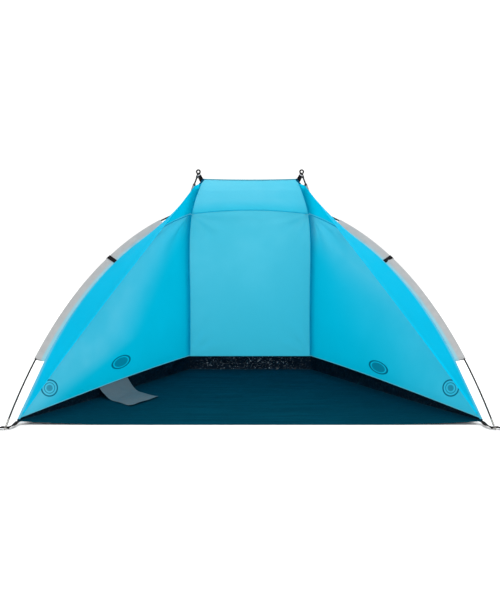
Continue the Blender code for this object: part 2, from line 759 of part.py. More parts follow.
def peg_loop(name, hinge, ahead, wide):
    """A webbing loop with a rounded end, hinged on its upper edge at the end of its strap."""
    up = np.cross(ahead, wide)
    if up[2] < 0:
        up = -up
    radius = WEBBING_WIDTH / 2
    straight = LOOP_LENGTH - radius

    def outline(border, start):
        reach = radius - border
        turns = np.linspace(-math.pi / 2, math.pi / 2, LOOP_ARC_POINTS)
        arc = [(straight + reach * math.cos(a), reach * math.sin(a)) for a in turns]
        return [(start, -reach), *arc, (start, reach)]

    hole_start = straight + radius - LOOP_BORDER - LOOP_HOLE_LENGTH
    rings = []
    for border, start, depth in (
        (0.0, 0.0, WEBBING_THICKNESS),
        (0.0, 0.0, 0.0),
        (LOOP_BORDER, hole_start, 0.0),
        (LOOP_BORDER, hole_start, WEBBING_THICKNESS),
    ):
        ring = [hinge + a * ahead + b * wide - depth * up for a, b in outline(border, start)]
        rings.append(np.array(ring))
    return loft(name, rings, WEBBING_BLACK, ring_shaped=True, origin=hinge)


def level_across(run):
    """The level direction to the right of a run towards the corner."""
    return unit(np.array([run[1], -run[0], 0.0]))


def beneath_floor(place, run):
    """A strap's station against the underside of the floor, tilted with it."""
    wide = level_across(run) * WEBBING_WIDTH / 2
    edges = np.array([place - wide, place + wide])
    for edge in edges:
        edge[2] = floor_height(edge[0], edge[1])
    centre = edges.mean(axis=0) - UP * (WEBBING_THICKNESS / 2 + STRAP_CLEARANCE)
    return centre, edges[1] - edges[0], 1.0


def front_corner():
    """Strap from under the floor's front corner, round the hoop's foot pin, to the peg loop."""
    corner = np.array([-FLOOR_FRONT_WIDTH / 2, 0.0, CORNER_LIFT])
    pole = HOOP.direction(0.0)
    foot = HOOP.point(0.0)
    centre = foot + pole * FRONT_EYELET_HEIGHT / pole[2]
    out = np.array([-1.0, 0.0, 0.0])
    out = unit(out - (out @ pole) * pole)
    wide = unit(np.cross(pole, out))
    tuck = unit(np.array(STRAP_RUN))
    under = beneath_floor(corner + tuck * STRAP_UNDER_FLOOR, tuck)
    leave = beneath_floor(corner, tuck)
    turn = corner - [FLOOR_SEAM_ALLOWANCE, STRAP_TURN_AHEAD, CORNER_LIFT * STRAP_TURN_DROP_SHARE]
    near = centre - out * STRAP_EYELET_REACH
    far = centre + out * STRAP_EYELET_REACH
    end = centre + out * (STRAP_EYELET_REACH + STRAP_END_REACH)
    end[2] = STRAP_END_HEIGHT
    along = unit(out * [1.0, 1.0, 0.0])
    stations = (
        under,
        leave,
        (turn, level_across(tuck), 1.0),
        (near, wide, 1.0),
        (far, wide, 1.0),
        (end - along * STRAP_TAIL_FLAT, level_across(-along), 1.0),
        (end, level_across(-along), 1.0),
    )
    strap = ribbon("left_front_strap", stations, WEBBING_WIDTH, WEBBING_THICKNESS, WEBBING_BLACK)
    eyelet_hole(strap, centre, pole)
    right = mirrored(strap, "right_front_strap")
    eyelet_hole(right, centre * MIRROR, pole * MIRROR)
    both_sides(eyelet("left_front_eyelet", centre, pole))
    hinge = end + along * SEAT_GAP + UP * WEBBING_THICKNESS / 2
    both_sides(peg_loop("left_front_peg_loop", hinge, along, level_across(along)))


def rear_corner():
    """Flat strap behind the floor's rear corner, with the rear pole's pin in its eyelet."""
    corner = np.array([-FLOOR_REAR_WIDTH / 2 - FLOOR_SEAM_ALLOWANCE, FLOOR_DEPTH + FLOOR_SEAM_ALLOWANCE, 0.0])
    foot = REAR.point(0.0)
    out = unit((foot - corner) * [1.0, 1.0, 0.0])
    wide = np.array([-out[1], out[0], 0.0])
    start = corner + out * 2 * SEAT_GAP
    start[2] = WEBBING_THICKNESS / 2 + SEAT_GAP
    axis = REAR.direction(0.0)
    centre = foot + axis * REAR_EYELET_HEIGHT / axis[2]
    near = centre - out * STRAP_EYELET_REACH
    far = centre + out * STRAP_EYELET_REACH
    end = far + out * STRAP_END_REACH
    end[2] = STRAP_END_HEIGHT
    strap = ribbon(
        "left_rear_strap",
        [(p, wide, 1.0) for p in (start, near, far, end - out * STRAP_TAIL_FLAT, end)],
        WEBBING_WIDTH,
        WEBBING_THICKNESS,
        WEBBING_BLACK,
    )
    eyelet_hole(strap, centre, UP)
    right = mirrored(strap, "right_rear_strap")
    eyelet_hole(right, centre * MIRROR, UP)
    both_sides(eyelet("left_rear_eyelet", centre, UP))
    hinge = end + out * SEAT_GAP + UP * WEBBING_THICKNESS / 2
    both_sides(peg_loop("left_rear_peg_loop", hinge, out, wide))


def corner_caps():
    """A moulded cap with an eye on each rear pole's top end."""
    bore = POLE_DIAMETER + 2 * POLE_FIT
    body = bore + 2 * CAP_WALL
    tip = REAR.length - EYE_NECK_LENGTH
    mouth = tip - CAP_FLOOR - CAP_DEPTH
    profile = ((REAR.length, EYE_NECK_DIAMETER), (tip, EYE_NECK_DIAMETER), (tip - CAP_WALL, body))
    profile += ((mouth, body), (mouth, bore), (tip - CAP_FLOOR, bore))
    cap = turned("left_corner_cap", REAR, profile, POLE_SIDES, CAP_PLASTIC)
    spoke = (EYE_DIAMETER - EYE_THICKNESS) / 2
    centre = REAR.point(REAR.length) + spoke * UP
    rings = []
    for turn in 2 * math.pi * np.arange(CAP_SIDES) / CAP_SIDES:
        out = np.array([math.cos(turn), 0.0, math.sin(turn)])
        deep = np.array([0.0, 1.0, 0.0])
        section = circle(EYE_THICKNESS, EYE_SECTION_SIDES)
        rings.append(np.array([centre + out * (spoke + a) + b * deep for a, b in section]))
    eye = loft("left_corner_eye", rings, CAP_PLASTIC, ring_shaped=True)
    right = mirrored(cap, "right_corner_cap")
    boolean(right, mirrored(eye, "right_corner_eye"), "UNION")
    boolean(cap, eye, "UNION")
    return centre


def corner_tabs(eye_centre):
    """Webbing from the shell's cut-off top corner to the front of the eye on the cap."""
    ends = top_edge(SIDE[1][-1])[:2]
    middle = ends.mean(axis=0)
    eye_foot = eye_centre - UP * (EYE_DIAMETER - EYE_THICKNESS) / 2
    run = unit(eye_foot - middle)
    front = unit(run[1] * run - [0.0, 1.0, 0.0])
    low = middle + run * (CLOTH_THICKNESS / 2 + TAB_CLEARANCE)
    clear = (EYE_THICKNESS + TAB_THICKNESS) / 2 + TAB_EYE_CLEARANCE
    high = eye_foot + front * clear + run * TAB_OVER_EYE
    wide = unit(np.array([run[2], 0.0, -run[0]]))
    stations = ((low, ends[1] - ends[0], 1.0), (high, wide, TAB_TOP_SHARE))
    both_sides(ribbon("left_corner_tab", stations, TAB_WIDTH, TAB_THICKNESS, WEBBING_BLACK))


def crossing_clips():
    """A snap clip on the hoop just past each crossing, and the tape that sews it to the seam."""
    at = CROSSING_DISTANCE + CLIP_BEYOND_CROSSING
    low, high = at - CLIP_WIDTH / 2, at + CLIP_WIDTH / 2
    inside = POLE_DIAMETER / 2 + POLE_FIT
    outside = inside + CLIP_WALL
    turns = np.linspace(-math.pi + CLIP_MOUTH / 2, math.pi - CLIP_MOUTH / 2, CLIP_POINTS)
    over = [(outside * math.cos(a), outside * math.sin(a)) for a in turns]
    under = [(inside * math.cos(a), inside * math.sin(a)) for a in turns]
    section = over + under[::-1]
    rings = [HOOP.ring(d, section) for d in HOOP.stations(low, high)]
    both_sides(loft("left_crossing_clip", rings, CAP_PLASTIC))
    top = HOOP.point(at, across=outside + SEAT_GAP)
    seam = roof_seam_point(top[0])
    run = unit(seam - top)
    bottom = seam - run * (CLOTH_THICKNESS + CLIP_TAPE_CLEARANCE)
    wide = HOOP.direction(at)
    stations = ((top, wide, 1.0), (bottom, wide, 1.0))
    both_sides(
        ribbon("left_crossing_tape", stations, CLIP_TAPE_WIDTH, CLIP_TAPE_THICKNESS, WEBBING_BLACK)
    )


def roof_seam_point(x):
    """The seam between rear wall and roof, above this x."""
    end = SIDE[3][0]
    share = x / end[0]
    return np.array([x, end[1], end[2] + ROOF_SEAM_RISE * (1 - share**2)])


def floor_flap(wall):
    """Loose grey cloth: it hangs from the foot of the left wall and lies out on the floor."""
    foot = wall[0][::-1]
    share = foot[:, 1] / FLOOR_DEPTH
    ends = (FLAP_START_SHARE, FLAP_END_SHARE)
    first, last = (np.array([np.interp(s, share, foot[:, k]) for k in range(3)]) for s in ends)
    run = unit(last - first)
    inward = unit(np.cross(run, UP))
    turn = np.array([math.cos(FLAP_SWING), math.sin(FLAP_SWING)])
    flat_run = unit(run * [1.0, 1.0, 0.0])
    lay = turn[0] * inward + turn[1] * flat_run
    first = first + inward * FLAP_ROOT_GAP
    last = last + inward * FLAP_ROOT_GAP
    grid = []
    seat = FLOOR_THICKNESS + FLAP_CLEARANCE + CLOTH_THICKNESS / 2
    for k in range(FLAP_ROWS + 1):
        out = k / FLAP_ROWS
        row = []
        for j in range(FLAP_COLUMNS + 1):
            root = first + (last - first) * j / FLAP_COLUMNS
            place = root + lay * FLAP_LENGTH * out
            rest = floor_height(place[0], place[1]) + seat
            hang = max(1 - out / FLAP_DROP_SHARE, 0.0) ** 2
            place[2] = rest + (root[2] - rest) * hang
            row.append(place)
        grid.append(row)
    grid = np.array(grid)
    cloth_panel("floor_flap", grid, mitres([(grid, 1)]), (), SLEEVE_GREY, origin=first)


clear_scene()
WALL_CLOTH = material("wall_polyester", (0.045, 0.44, 0.66), 0.55)
HOOD_CLOTH = material("hood_polyester", (0.02, 0.47, 0.78), 0.55)
SKIRT_CLOTH = material("skirt_sheeting", (0.004, 0.010, 0.022), 0.42)
FLOOR_CLOTH = material("floor_sheeting", (0.004, 0.040, 0.075), 0.48)
SLEEVE_GREY = material("sleeve_polyester", (0.50, 0.50, 0.53), 0.62)
WEBBING_BLACK = material("webbing", (0.012, 0.010, 0.012), 0.75)
GLASS_FIBRE = material("glass_fibre", (0.035, 0.033, 0.033), 0.38)
FERRULE_METAL = material("ferrule_metal", (0.56, 0.57, 0.58), 0.30, 1.0)
TIP_METAL = material("tip_metal", (0.60, 0.60, 0.60), 0.34, 1.0)
EYELET_METAL = material("eyelet_metal", (0.05, 0.05, 0.05), 0.35, 1.0)
CAP_PLASTIC = material("cap_plastic", (0.015, 0.014, 0.016), 0.45)
CORD_RUBBER = material("cord_elastic", (0.03, 0.03, 0.03), 0.8)

GROUND_CENTRE = bpy.data.objects.new("ground_centre", None)
bpy.context.scene.collection.objects.link(GROUND_CENTRE)

HOOP = hoop_path()
SIDE = side_curves()
REAR_CURVE = SIDE[4]
REAR = rear_path()

floor_sheet()
left_wall = sewn_shell()
floor_flap(left_wall)
socket_floor = PIN_LENGTH + TIP_FLOOR + SEAT_GAP
jointed_pole("hoop", HOOP, socket_floor, HOOP.length - socket_floor, HOOP_SECTION_COUNT)
both_sides(foot_tip("left_hoop_tip", HOOP))
pole_top = REAR.length - EYE_NECK_LENGTH - CAP_FLOOR - SEAT_GAP
jointed_pole("left_rear_pole", REAR, socket_floor, pole_top, REAR_SECTION_COUNT)
both_sides(foot_tip("left_rear_tip", REAR))
for piece in [o for o in bpy.data.objects if o.name.startswith("left_rear_pole")]:
    both_sides(piece)
sleeves()
sleeve_bands()
front_corner()
rear_corner()
corner_tabs(corner_caps())
crossing_clips()

solids = [o for o in bpy.data.objects if o.type == "MESH" and not o.hide_render]
depths = [o.location.y + v.co.y for o in solids for v in o.data.vertices]
GROUND_CENTRE.location.y = -(min(depths) + max(depths)) / 2
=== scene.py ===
import math

import bmesh
import bpy
import numpy as np
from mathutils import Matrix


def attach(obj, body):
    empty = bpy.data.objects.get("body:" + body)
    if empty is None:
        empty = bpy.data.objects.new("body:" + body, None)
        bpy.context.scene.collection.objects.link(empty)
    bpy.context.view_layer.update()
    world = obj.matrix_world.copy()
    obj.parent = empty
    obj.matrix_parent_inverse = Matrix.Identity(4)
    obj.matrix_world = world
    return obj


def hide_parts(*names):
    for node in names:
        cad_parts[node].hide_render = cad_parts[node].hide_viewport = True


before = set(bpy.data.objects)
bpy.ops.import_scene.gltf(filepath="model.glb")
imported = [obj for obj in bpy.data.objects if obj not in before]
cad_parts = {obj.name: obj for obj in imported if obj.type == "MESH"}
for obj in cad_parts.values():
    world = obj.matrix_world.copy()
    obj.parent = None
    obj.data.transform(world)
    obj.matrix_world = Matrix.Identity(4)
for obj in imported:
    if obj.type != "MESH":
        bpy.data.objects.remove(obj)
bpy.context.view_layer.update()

# Studio. The shelter stands on a white sweep in soft light from all round, with a broad
# lamp above the photographer. The camera stands 3.6 m ahead of the floor's front edge, a
# little over a metre up, and looks slightly down.
FRONT_EDGE = -0.59982
EYE_AHEAD, EYE_HEIGHT, EYE_PITCH = 3.6, 1.066, math.radians(7.45)
LENS = 46.99
SWEEP_REACH, PAPER_DROP, SKY_STRENGTH = 40.0, 0.0006, 1.12
PAPER_TONES = ((0.92, 0.92, 0.92), (0.95, 0.95, 0.95))
LAMPS = (
    ("front_lamp", (0.9, -4.6, 3.6), (0.0, 0.0, 0.5), 3.2, 68.0),
    ("top_lamp", (0.4, 0.6, 4.6), (0.0, 0.1, 0.6), 3.6, 90.0),
    ("back_lamp", (0.0, 4.4, 2.4), (0.0, 0.0, 0.5), 3.0, 60.0),
)

scene = bpy.context.scene
scene.view_settings.view_transform = "Standard"
eye = bpy.data.cameras.new("photographer")
eye.lens = LENS
camera = bpy.data.objects.new("photographer", eye)
camera.location = (0.0, FRONT_EDGE - EYE_AHEAD, EYE_HEIGHT)
camera.rotation_euler = (math.pi / 2 - EYE_PITCH, 0.0, 0.0)
scene.collection.objects.link(camera)
scene.camera = camera

sky = bpy.data.worlds.new("studio")
sky.use_nodes = True
background = sky.node_tree.nodes["Background"]
background.inputs["Color"].default_value = (1.0, 1.0, 1.0, 1.0)
background.inputs["Strength"].default_value = SKY_STRENGTH
scene.world = sky

for name, place, target, size, power in LAMPS:
    lamp = bpy.data.lights.new(name, "AREA")
    lamp.shape, lamp.size, lamp.energy = "DISK", size, power
    hung = bpy.data.objects.new(name, lamp)
    hung.location = place
    aim = np.array(target) - np.array(place)
    tilt = math.acos(-aim[2] / np.linalg.norm(aim))
    hung.rotation_euler = (tilt, 0.0, math.atan2(-aim[0], aim[1]))
    scene.collection.objects.link(hung)


class Amount:
    """A number that varies over a surface. A sum on it adds that sum to its finish."""

    def __init__(self, finish, socket):
        self.finish, self.socket = finish, socket

    def maths(self, operation, *values):
        return self.finish.add("ShaderNodeMath", {"operation": operation}, dict(enumerate(values)))

    def __add__(self, other):
        return self.maths("ADD", self, other)

    def __sub__(self, other):
        return self.maths("SUBTRACT", self, other)

    def __rsub__(self, other):
        return self.maths("SUBTRACT", other, self)

    def __mul__(self, other):
        return self.maths("MULTIPLY", self, other)

    def __truediv__(self, other):
        return self.maths("DIVIDE", self, other)

    __radd__, __rmul__ = __add__, __mul__

    def __abs__(self):
        return self.maths("ABSOLUTE", self)

    def wave(self, length):
        """A sine of this wavelength, from 0 to 1."""
        return self.maths("SINE", self * (2 * math.pi / length)) * 0.5 + 0.5

    def fade(self, start, end):
        """1 at start, 0 at end, smooth between."""
        sockets = {"Value": self, "From Min": start, "From Max": end, "To Min": 1.0, "To Max": 0.0}
        return self.finish.add("ShaderNodeMapRange", {"interpolation_type": "SMOOTHSTEP"}, sockets)


class Finish:
    """A material with its main shader, and one method that adds any other node."""

    def __init__(self, name, roughness, **fixed):
        self.made = bpy.data.materials.new(name)
        self.made.use_nodes = True
        self.tree = self.made.node_tree
        self.shader = self.tree.nodes["Principled BSDF"]
        self.join(self.shader, {"Roughness": roughness})
        self.join(self.shader, {key.replace("_", " "): value for key, value in fixed.items()})

    def join(self, node, sockets):
        for key, value in sockets.items():
            if isinstance(value, Amount):
                self.tree.links.new(value.socket, node.inputs[key])
            else:
                node.inputs[key].default_value = value

    def add(self, kind, settings=None, sockets=None, output=0):
        node = self.tree.nodes.new(kind)
        for key, value in (settings or {}).items():
            setattr(node, key, value)
        self.join(node, sockets or {})
        return Amount(self, node.outputs[output])

    def shade(self, **sockets):
        self.join(self.shader, {key.replace("_", " "): value for key, value in sockets.items()})

    def mix(self, share, one, two):
        """Colour one where share is 0, colour two where it is 1."""
        one, two = ((*c, 1.0) if isinstance(c, tuple) else c for c in (one, two))
        return self.add("ShaderNodeMix", {"data_type": "RGBA"}, {0: share, 6: one, 7: two}, output=2)

    def place(self):
        """Where a point is on the piece, in metres."""
        return self.add("ShaderNodeTexCoord", output="Object")

    def map(self, name):
        """The two lengths that a piece's map gives, in metres."""
        found = self.add("ShaderNodeUVMap", {"uv_map": name})
        return [self.add("ShaderNodeSeparateXYZ", None, {0: found}, output=k) for k in (0, 1)]

    def place_along(self, axis):
        """One of the three lengths of that place."""
        return self.add("ShaderNodeSeparateXYZ", None, {0: self.place()}, output=axis)

    def noise(self, scale, detail=3.0, stretch=(1.0, 1.0, 1.0), roughness=0.5):
        """Uneven marks, about scale of them to a metre, and closer along an axis that is stretched."""
        sockets = {"Vector": self.place(), "Scale": stretch}
        stretched = self.add("ShaderNodeMapping", {"vector_type": "POINT"}, sockets)
        sockets = {"Vector": stretched, "Scale": scale, "Detail": detail, "Roughness": roughness}
        return self.add("ShaderNodeTexNoise", None, sockets)

    def relief(self, height, depth, strength=1.0, over=None):
        """The surface's bumps, this deep in metres, on top of others."""
        sockets = {"Height": height, "Distance": depth, "Strength": strength}
        if over is not None:
            sockets["Normal"] = over
        return self.add("ShaderNodeBump", None, sockets)

    def let_through(self, glow, share):
        """Light from behind comes through in the glow's colour, as this share of the finish."""
        through = self.add("ShaderNodeBsdfTranslucent", None, {"Color": (*glow, 1.0)})
        mixed = self.add("ShaderNodeMixShader", None, {0: share, 2: through})
        self.tree.links.new(self.shader.outputs[0], mixed.socket.node.inputs[1])
        self.tree.links.new(mixed.socket, self.tree.nodes["Material Output"].inputs["Surface"])


sweep = bpy.data.meshes.new("studio_floor")
corners = [(-1, -1), (1, -1), (1, 1), (-1, 1)]
corners = [(x * SWEEP_REACH, y * SWEEP_REACH, -PAPER_DROP) for x, y in corners]
sweep.from_pydata(corners, [], [(0, 1, 2, 3)])
paper = Finish("studio_paper", 0.9)
paper.shade(Base_Color=paper.mix(paper.noise(3.0), *PAPER_TONES))
sweep.materials.append(paper.made)
studio_floor = bpy.data.objects.new("studio_floor", sweep)
scene.collection.objects.link(studio_floor)

# Long pole. Six glass-fibre tubes, joined end to end by steel ferrules on an elastic cord,
# bend into one arc that leans back from two feet ahead of the floor. The tubes, ferrules
# and cord are the CAD solids; the arc is repeated here because the cloth follows it.
HOOP_FOOT_HALF, HOOP_FOOT_AHEAD, HOOP_RISE = 1.135, 0.089, 1.50
HOOP_LEAN, HOOP_FOOT_ANGLE = math.radians(45), math.radians(82)
HOOP_FOOT_PULL, HOOP_TOP_PULL = 0.95, 0.55
HOOP_SAMPLES, HOOP_RUNS = 401, 240
TUBE_BLACK, TUBE_GREY, TUBE_SCUFFED = (0.008, 0.007, 0.007), (0.020, 0.018, 0.018), (0.040, 0.037, 0.036)
STEEL_DARK, STEEL_BRIGHT = (0.20, 0.205, 0.21), (0.36, 0.365, 0.37)
BRAID_BLACK, BRAID_GREY = (0.010, 0.010, 0.010), (0.045, 0.045, 0.047)


def unit(vectors):
    vectors = np.asarray(vectors, float)
    return vectors / np.linalg.norm(vectors, axis=-1, keepdims=True)


def lengths_along(points):
    return np.concatenate([[0.0], np.cumsum(np.linalg.norm(np.diff(points, axis=0), axis=1))])


def evenly(points, count):
    """The line again, as count equal stretches."""
    along = lengths_along(points)
    at = np.linspace(0.0, along[-1], count + 1)
    return np.stack([np.interp(at, along, np.asarray(points)[:, k]) for k in range(3)], axis=1)


class Run:
    """A line that cloth and webbing follow, with a direction across and one off its face."""

    def __init__(self, points, towards):
        self.points = np.asarray(points, float)
        self.along = lengths_along(self.points)
        self.ahead = unit(np.gradient(self.points, self.along, axis=0))
        towards = np.broadcast_to(np.asarray(towards, float), self.ahead.shape)
        self.side = unit(towards - (towards * self.ahead).sum(1, keepdims=True) * self.ahead)
        self.off = np.cross(self.ahead, self.side)
        self.length = self.along[-1]

    def at(self, distance, field):
        return np.stack([np.interp(distance, self.along, field[:, k]) for k in range(3)], axis=-1)

    def place(self, distance, across=0.0, off=0.0):
        distance, across, off = np.broadcast_arrays(distance, across, off)
        found = self.at(distance, self.points) + across[..., None] * self.at(distance, self.side)
        return found + off[..., None] * self.at(distance, self.off)


def long_pole():
    foot, top = np.array([-HOOP_FOOT_HALF, 0.0]), np.array([0.0, HOOP_RISE])
    rise = np.array([math.cos(HOOP_FOOT_ANGLE), math.sin(HOOP_FOOT_ANGLE)])
    t = np.linspace(0.0, 1.0, HOOP_SAMPLES)[:, None]
    arc = (1 - t) ** 3 * foot + 3 * (1 - t) ** 2 * t * (foot + HOOP_FOOT_PULL * rise)
    arc += 3 * (1 - t) * t**2 * (top - [HOOP_TOP_PULL, 0.0]) + t**3 * top
    arc = np.concatenate([arc, arc[-2::-1] * [-1.0, 1.0]])
    depth = arc[:, 1] * math.cos(HOOP_LEAN) - HOOP_FOOT_AHEAD + FRONT_EDGE
    points = np.stack([arc[:, 0], depth, arc[:, 1] * math.sin(HOOP_LEAN)], axis=1)
    points = evenly(points, HOOP_RUNS)
    facing = np.array([0.0, -math.sin(HOOP_LEAN), math.cos(HOOP_LEAN)])
    return Run(points, -np.cross(facing, unit(np.gradient(points, axis=0))))


def finish_nodes(finish, *names):
    """Gives CAD solids their finish."""
    for name in names:
        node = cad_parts[name]
        node.data.materials.clear()
        node.data.materials.append(finish.made)


HOOP = long_pole()
tube = Finish("glass_fibre_tube", 0.42, Coat_Weight=0.03, Coat_Roughness=0.3, Specular_IOR_Level=0.08)
strands = tube.noise(420.0, stretch=(1.0, 1.0, 0.12))
scuffs = tube.noise(38.0, detail=6.0).fade(0.62, 0.74)
tube.shade(
    Base_Color=tube.mix(scuffs, TUBE_SCUFFED, tube.mix(strands, TUBE_BLACK, TUBE_GREY)),
    Roughness=0.34 + 0.22 * strands,
    Normal=tube.relief(strands, 0.0002, 0.4),
)
ferrule = Finish("drawn_steel", 0.30, Metallic=1.0)
die_marks = ferrule.noise(900.0, stretch=(1.0, 1.0, 0.06))
ferrule.shade(
    Base_Color=ferrule.mix(die_marks, STEEL_DARK, STEEL_BRIGHT),
    Roughness=0.24 + 0.18 * die_marks,
    Normal=ferrule.relief(die_marks, 0.0001, 0.3),
)
braid = Finish("braided_elastic", 0.85, Sheen_Weight=0.2)
plaits = {"Vector": braid.place(), "Scale": 260.0, "Distortion": 1.2}
plaits = braid.add("ShaderNodeTexWave", {"bands_direction": "DIAGONAL"}, plaits)
braid.shade(Base_Color=braid.mix(plaits, BRAID_BLACK, BRAID_GREY), Normal=braid.relief(plaits, 0.0002))
finish_nodes(tube, *[f"hoop_section_{k}" for k in range(1, 7)])
finish_nodes(ferrule, *[f"hoop_ferrule_{k}" for k in range(1, 6)])
finish_nodes(braid, "hoop_shock_cord")

# Foot tips. A swaged steel socket on each pole end with a turned pin that drops through
# the corner eyelet and stands on the ground.
TIP_GRIMY, TIP_BRIGHT = (0.30, 0.29, 0.27), (0.72, 0.72, 0.71)
turned = Finish("turned_steel", 0.33, Metallic=1.0)
lathe_marks = {"Vector": turned.place(), "Scale": 420.0}
lathe_marks = turned.add("ShaderNodeTexWave", {"bands_direction": "Z"}, lathe_marks)
grime = turned.noise(160.0, detail=5.0)
turned.shade(
    Base_Color=turned.mix(grime.fade(0.66, 0.5), TIP_GRIMY, TIP_BRIGHT),
    Roughness=0.26 + 0.24 * grime,
    Normal=turned.relief(lathe_marks, 0.0001, 0.35),
)
finish_nodes(turned, "left_hoop_tip", "right_hoop_tip", "left_rear_tip", "right_rear_tip")

# Rear poles. Each is two glass-fibre tubes and a ferrule on a cord. They stand behind the
# rear corners, follow the rear seams on the outside and lean forward over the roof.
FLOOR_REAR_HALF, FLOOR_DEPTH = 0.38, 1.20
SEAM_BOW = (0.008, 0.040, 0.50)
TOP_CORNER = np.array([-0.265, FRONT_EDGE + 0.625, 1.1415])
SEAM_DROP = 0.046
CROSSING = 1.676
REAR_SIDE = np.array([-0.75, 0.60, 0.50])
REAR_DROP = 0.033
REAR_BEYOND = 0.0545


def bent_rod(points, samples=400):
    """The line that a springy rod takes through the points."""
    points = np.asarray(points, float)
    knots = lengths_along(points)
    gaps, last = np.diff(knots), len(points) - 1
    system, right = np.eye(last + 1), np.zeros_like(points)
    for k in range(1, last):
        before, after = gaps[k - 1], gaps[k]
        system[k, k - 1 : k + 2] = before, 2 * (before + after), after
        right[k] = 6 * ((points[k + 1] - points[k]) / after - (points[k] - points[k - 1]) / before)
    bend = np.linalg.solve(system, right)
    at = np.linspace(0.0, knots[-1], samples + 1)
    span = np.clip(np.searchsorted(knots, at, side="right") - 1, 0, last - 1)
    gap = gaps[span][:, None]
    ahead, behind = (knots[span + 1] - at)[:, None], (at - knots[span])[:, None]
    curve = (bend[span] * ahead**3 + bend[span + 1] * behind**3) / (6 * gap)
    curve += (points[span] / gap - bend[span] * gap / 6) * ahead
    return curve + (points[span + 1] / gap - bend[span + 1] * gap / 6) * behind


def rear_pole():
    outward = unit(np.gradient(REAR_CURVE, axis=0))
    side = unit(REAR_SIDE - (outward @ REAR_SIDE)[:, None] * outward)
    pole = REAR_CURVE + REAR_DROP * side
    first = pole[0] - unit(pole[1] - pole[0]) * pole[0][2] / unit(pole[1] - pole[0])[2]
    beyond = pole[-1] + REAR_BEYOND * unit(pole[-1] - pole[-2])
    return Run(np.concatenate([[first], pole[1:], [beyond]]), -np.concatenate([side, side[-1:]]))


CROSSING_POINT = HOOP.place(CROSSING, SEAM_DROP)
rear_foot = np.array([-FLOOR_REAR_HALF, FRONT_EDGE + FLOOR_DEPTH, 0.0])
seam_bow = rear_foot + [SEAM_BOW[0], -SEAM_BOW[1], SEAM_BOW[2]]
REAR_CURVE = bent_rod([rear_foot, seam_bow, CROSSING_POINT, TOP_CORNER])
REAR = rear_pole()
for side in ("left", "right"):
    finish_nodes(tube, f"{side}_rear_pole_section_1", f"{side}_rear_pole_section_2")
    finish_nodes(ferrule, f"{side}_rear_pole_ferrule_1")
    finish_nodes(braid, f"{side}_rear_pole_shock_cord")

# Corner caps and crossing clips. Black nylon mouldings: a cap with an eye for a guy line
# on each rear pole's top, and a snap clip on the long pole above each rear pole.
NYLON_BLACK, NYLON_RUBBED = (0.006, 0.006, 0.0065), (0.030, 0.029, 0.030)
nylon = Finish("moulded_nylon", 0.42, Specular_IOR_Level=0.12)
grain = nylon.noise(700.0, detail=4.0)
rubbed = nylon.noise(90.0, detail=4.0).fade(0.60, 0.72)
nylon.shade(
    Base_Color=nylon.mix(rubbed, NYLON_RUBBED, NYLON_BLACK),
    Roughness=0.36 + 0.2 * grain,
    Normal=nylon.relief(grain, 0.0002, 0.35),
)
for side in ("left", "right"):
    finish_nodes(nylon, f"{side}_corner_cap", f"{side}_crossing_clip")

# Floor sheet. One piece of coated woven sheeting, hemmed along the open front, lying on
# the ground and drawn up a little at its two front corners by the straps.
FLOOR_FRONT_HALF, FLOOR_THICKNESS, FLOOR_ALLOWANCE = 1.10, 0.002, 0.004
CORNER_LIFT, FLAT_SHARE = 0.017, 0.5
FLOOR_ROWS, FLOOR_COLUMNS = 72, 132
FLOOR_HEM, FLOOR_HEM_THICKNESS, FLOOR_HEM_SHORT = 0.014, 0.0024, 0.01
LONG_RUCK, SHORT_RUCK, RUCKS_OFF = 0.0016, 0.0007, 0.0018
SHEETING_PITCH = 0.0052
# The middle colour is partly the sheeting's random tone and partly painted light, paler in the middle of
# the floor.
SHEETING_DEEP, SHEETING_TONE_AND_LIT = (0.0, 0.014, 0.028), (0.0, 0.036, 0.061)
# The edge colour is painted shade.
SHEETING_STREAK, SHEETING_EDGE_SHADE, SHEETING_LIT = (0.0, 0.019, 0.036), (0.0, 0.008, 0.020), (0.0, 0.075, 0.112)


def half_width(share):
    return FLOOR_FRONT_HALF + (FLOOR_REAR_HALF - FLOOR_FRONT_HALF) * share


def floor_underside(x, y):
    depth_share = np.clip((y - FRONT_EDGE) / FLOOR_DEPTH, 0.0, 1.0)
    width_share = np.minimum(np.abs(x) / half_width(depth_share), 1.0)
    outside = np.maximum(width_share - FLAT_SHARE, 0.0) / (1 - FLAT_SHARE)
    return CORNER_LIFT * outside**2 * (1 - depth_share) ** 3


def waves(points, length, seed, count=7):
    """A soft uneven field over the points, from about -1 to 1, the same each time."""
    random = np.random.default_rng(seed)
    field = np.zeros(points.shape[:-1])
    for _ in range(count):
        way = unit(random.normal(size=3)) * 2 * math.pi / (length * random.uniform(0.6, 1.6))
        field += np.sin(points @ way + random.uniform(0, 2 * math.pi))
    return field / math.sqrt(count)


def edge_gap(grid, edges):
    """How far each point is from the sewn edges, measured along the threads."""
    across = np.linalg.norm(np.diff(grid, axis=1), axis=-1)
    across = np.concatenate([np.zeros((len(grid), 1)), np.cumsum(across, axis=1)], axis=1)
    along = np.linalg.norm(np.diff(grid, axis=0), axis=-1)
    along = np.concatenate([np.zeros((1, grid.shape[1])), np.cumsum(along, axis=0)], axis=0)
    gaps = {"start": across, "end": across[:, -1:] - across, "foot": along, "top": along[-1:] - along}
    found = np.min([gaps[edge] for edge in edges], axis=0) if edges else np.full(across.shape, 1.0)
    return across, along, found


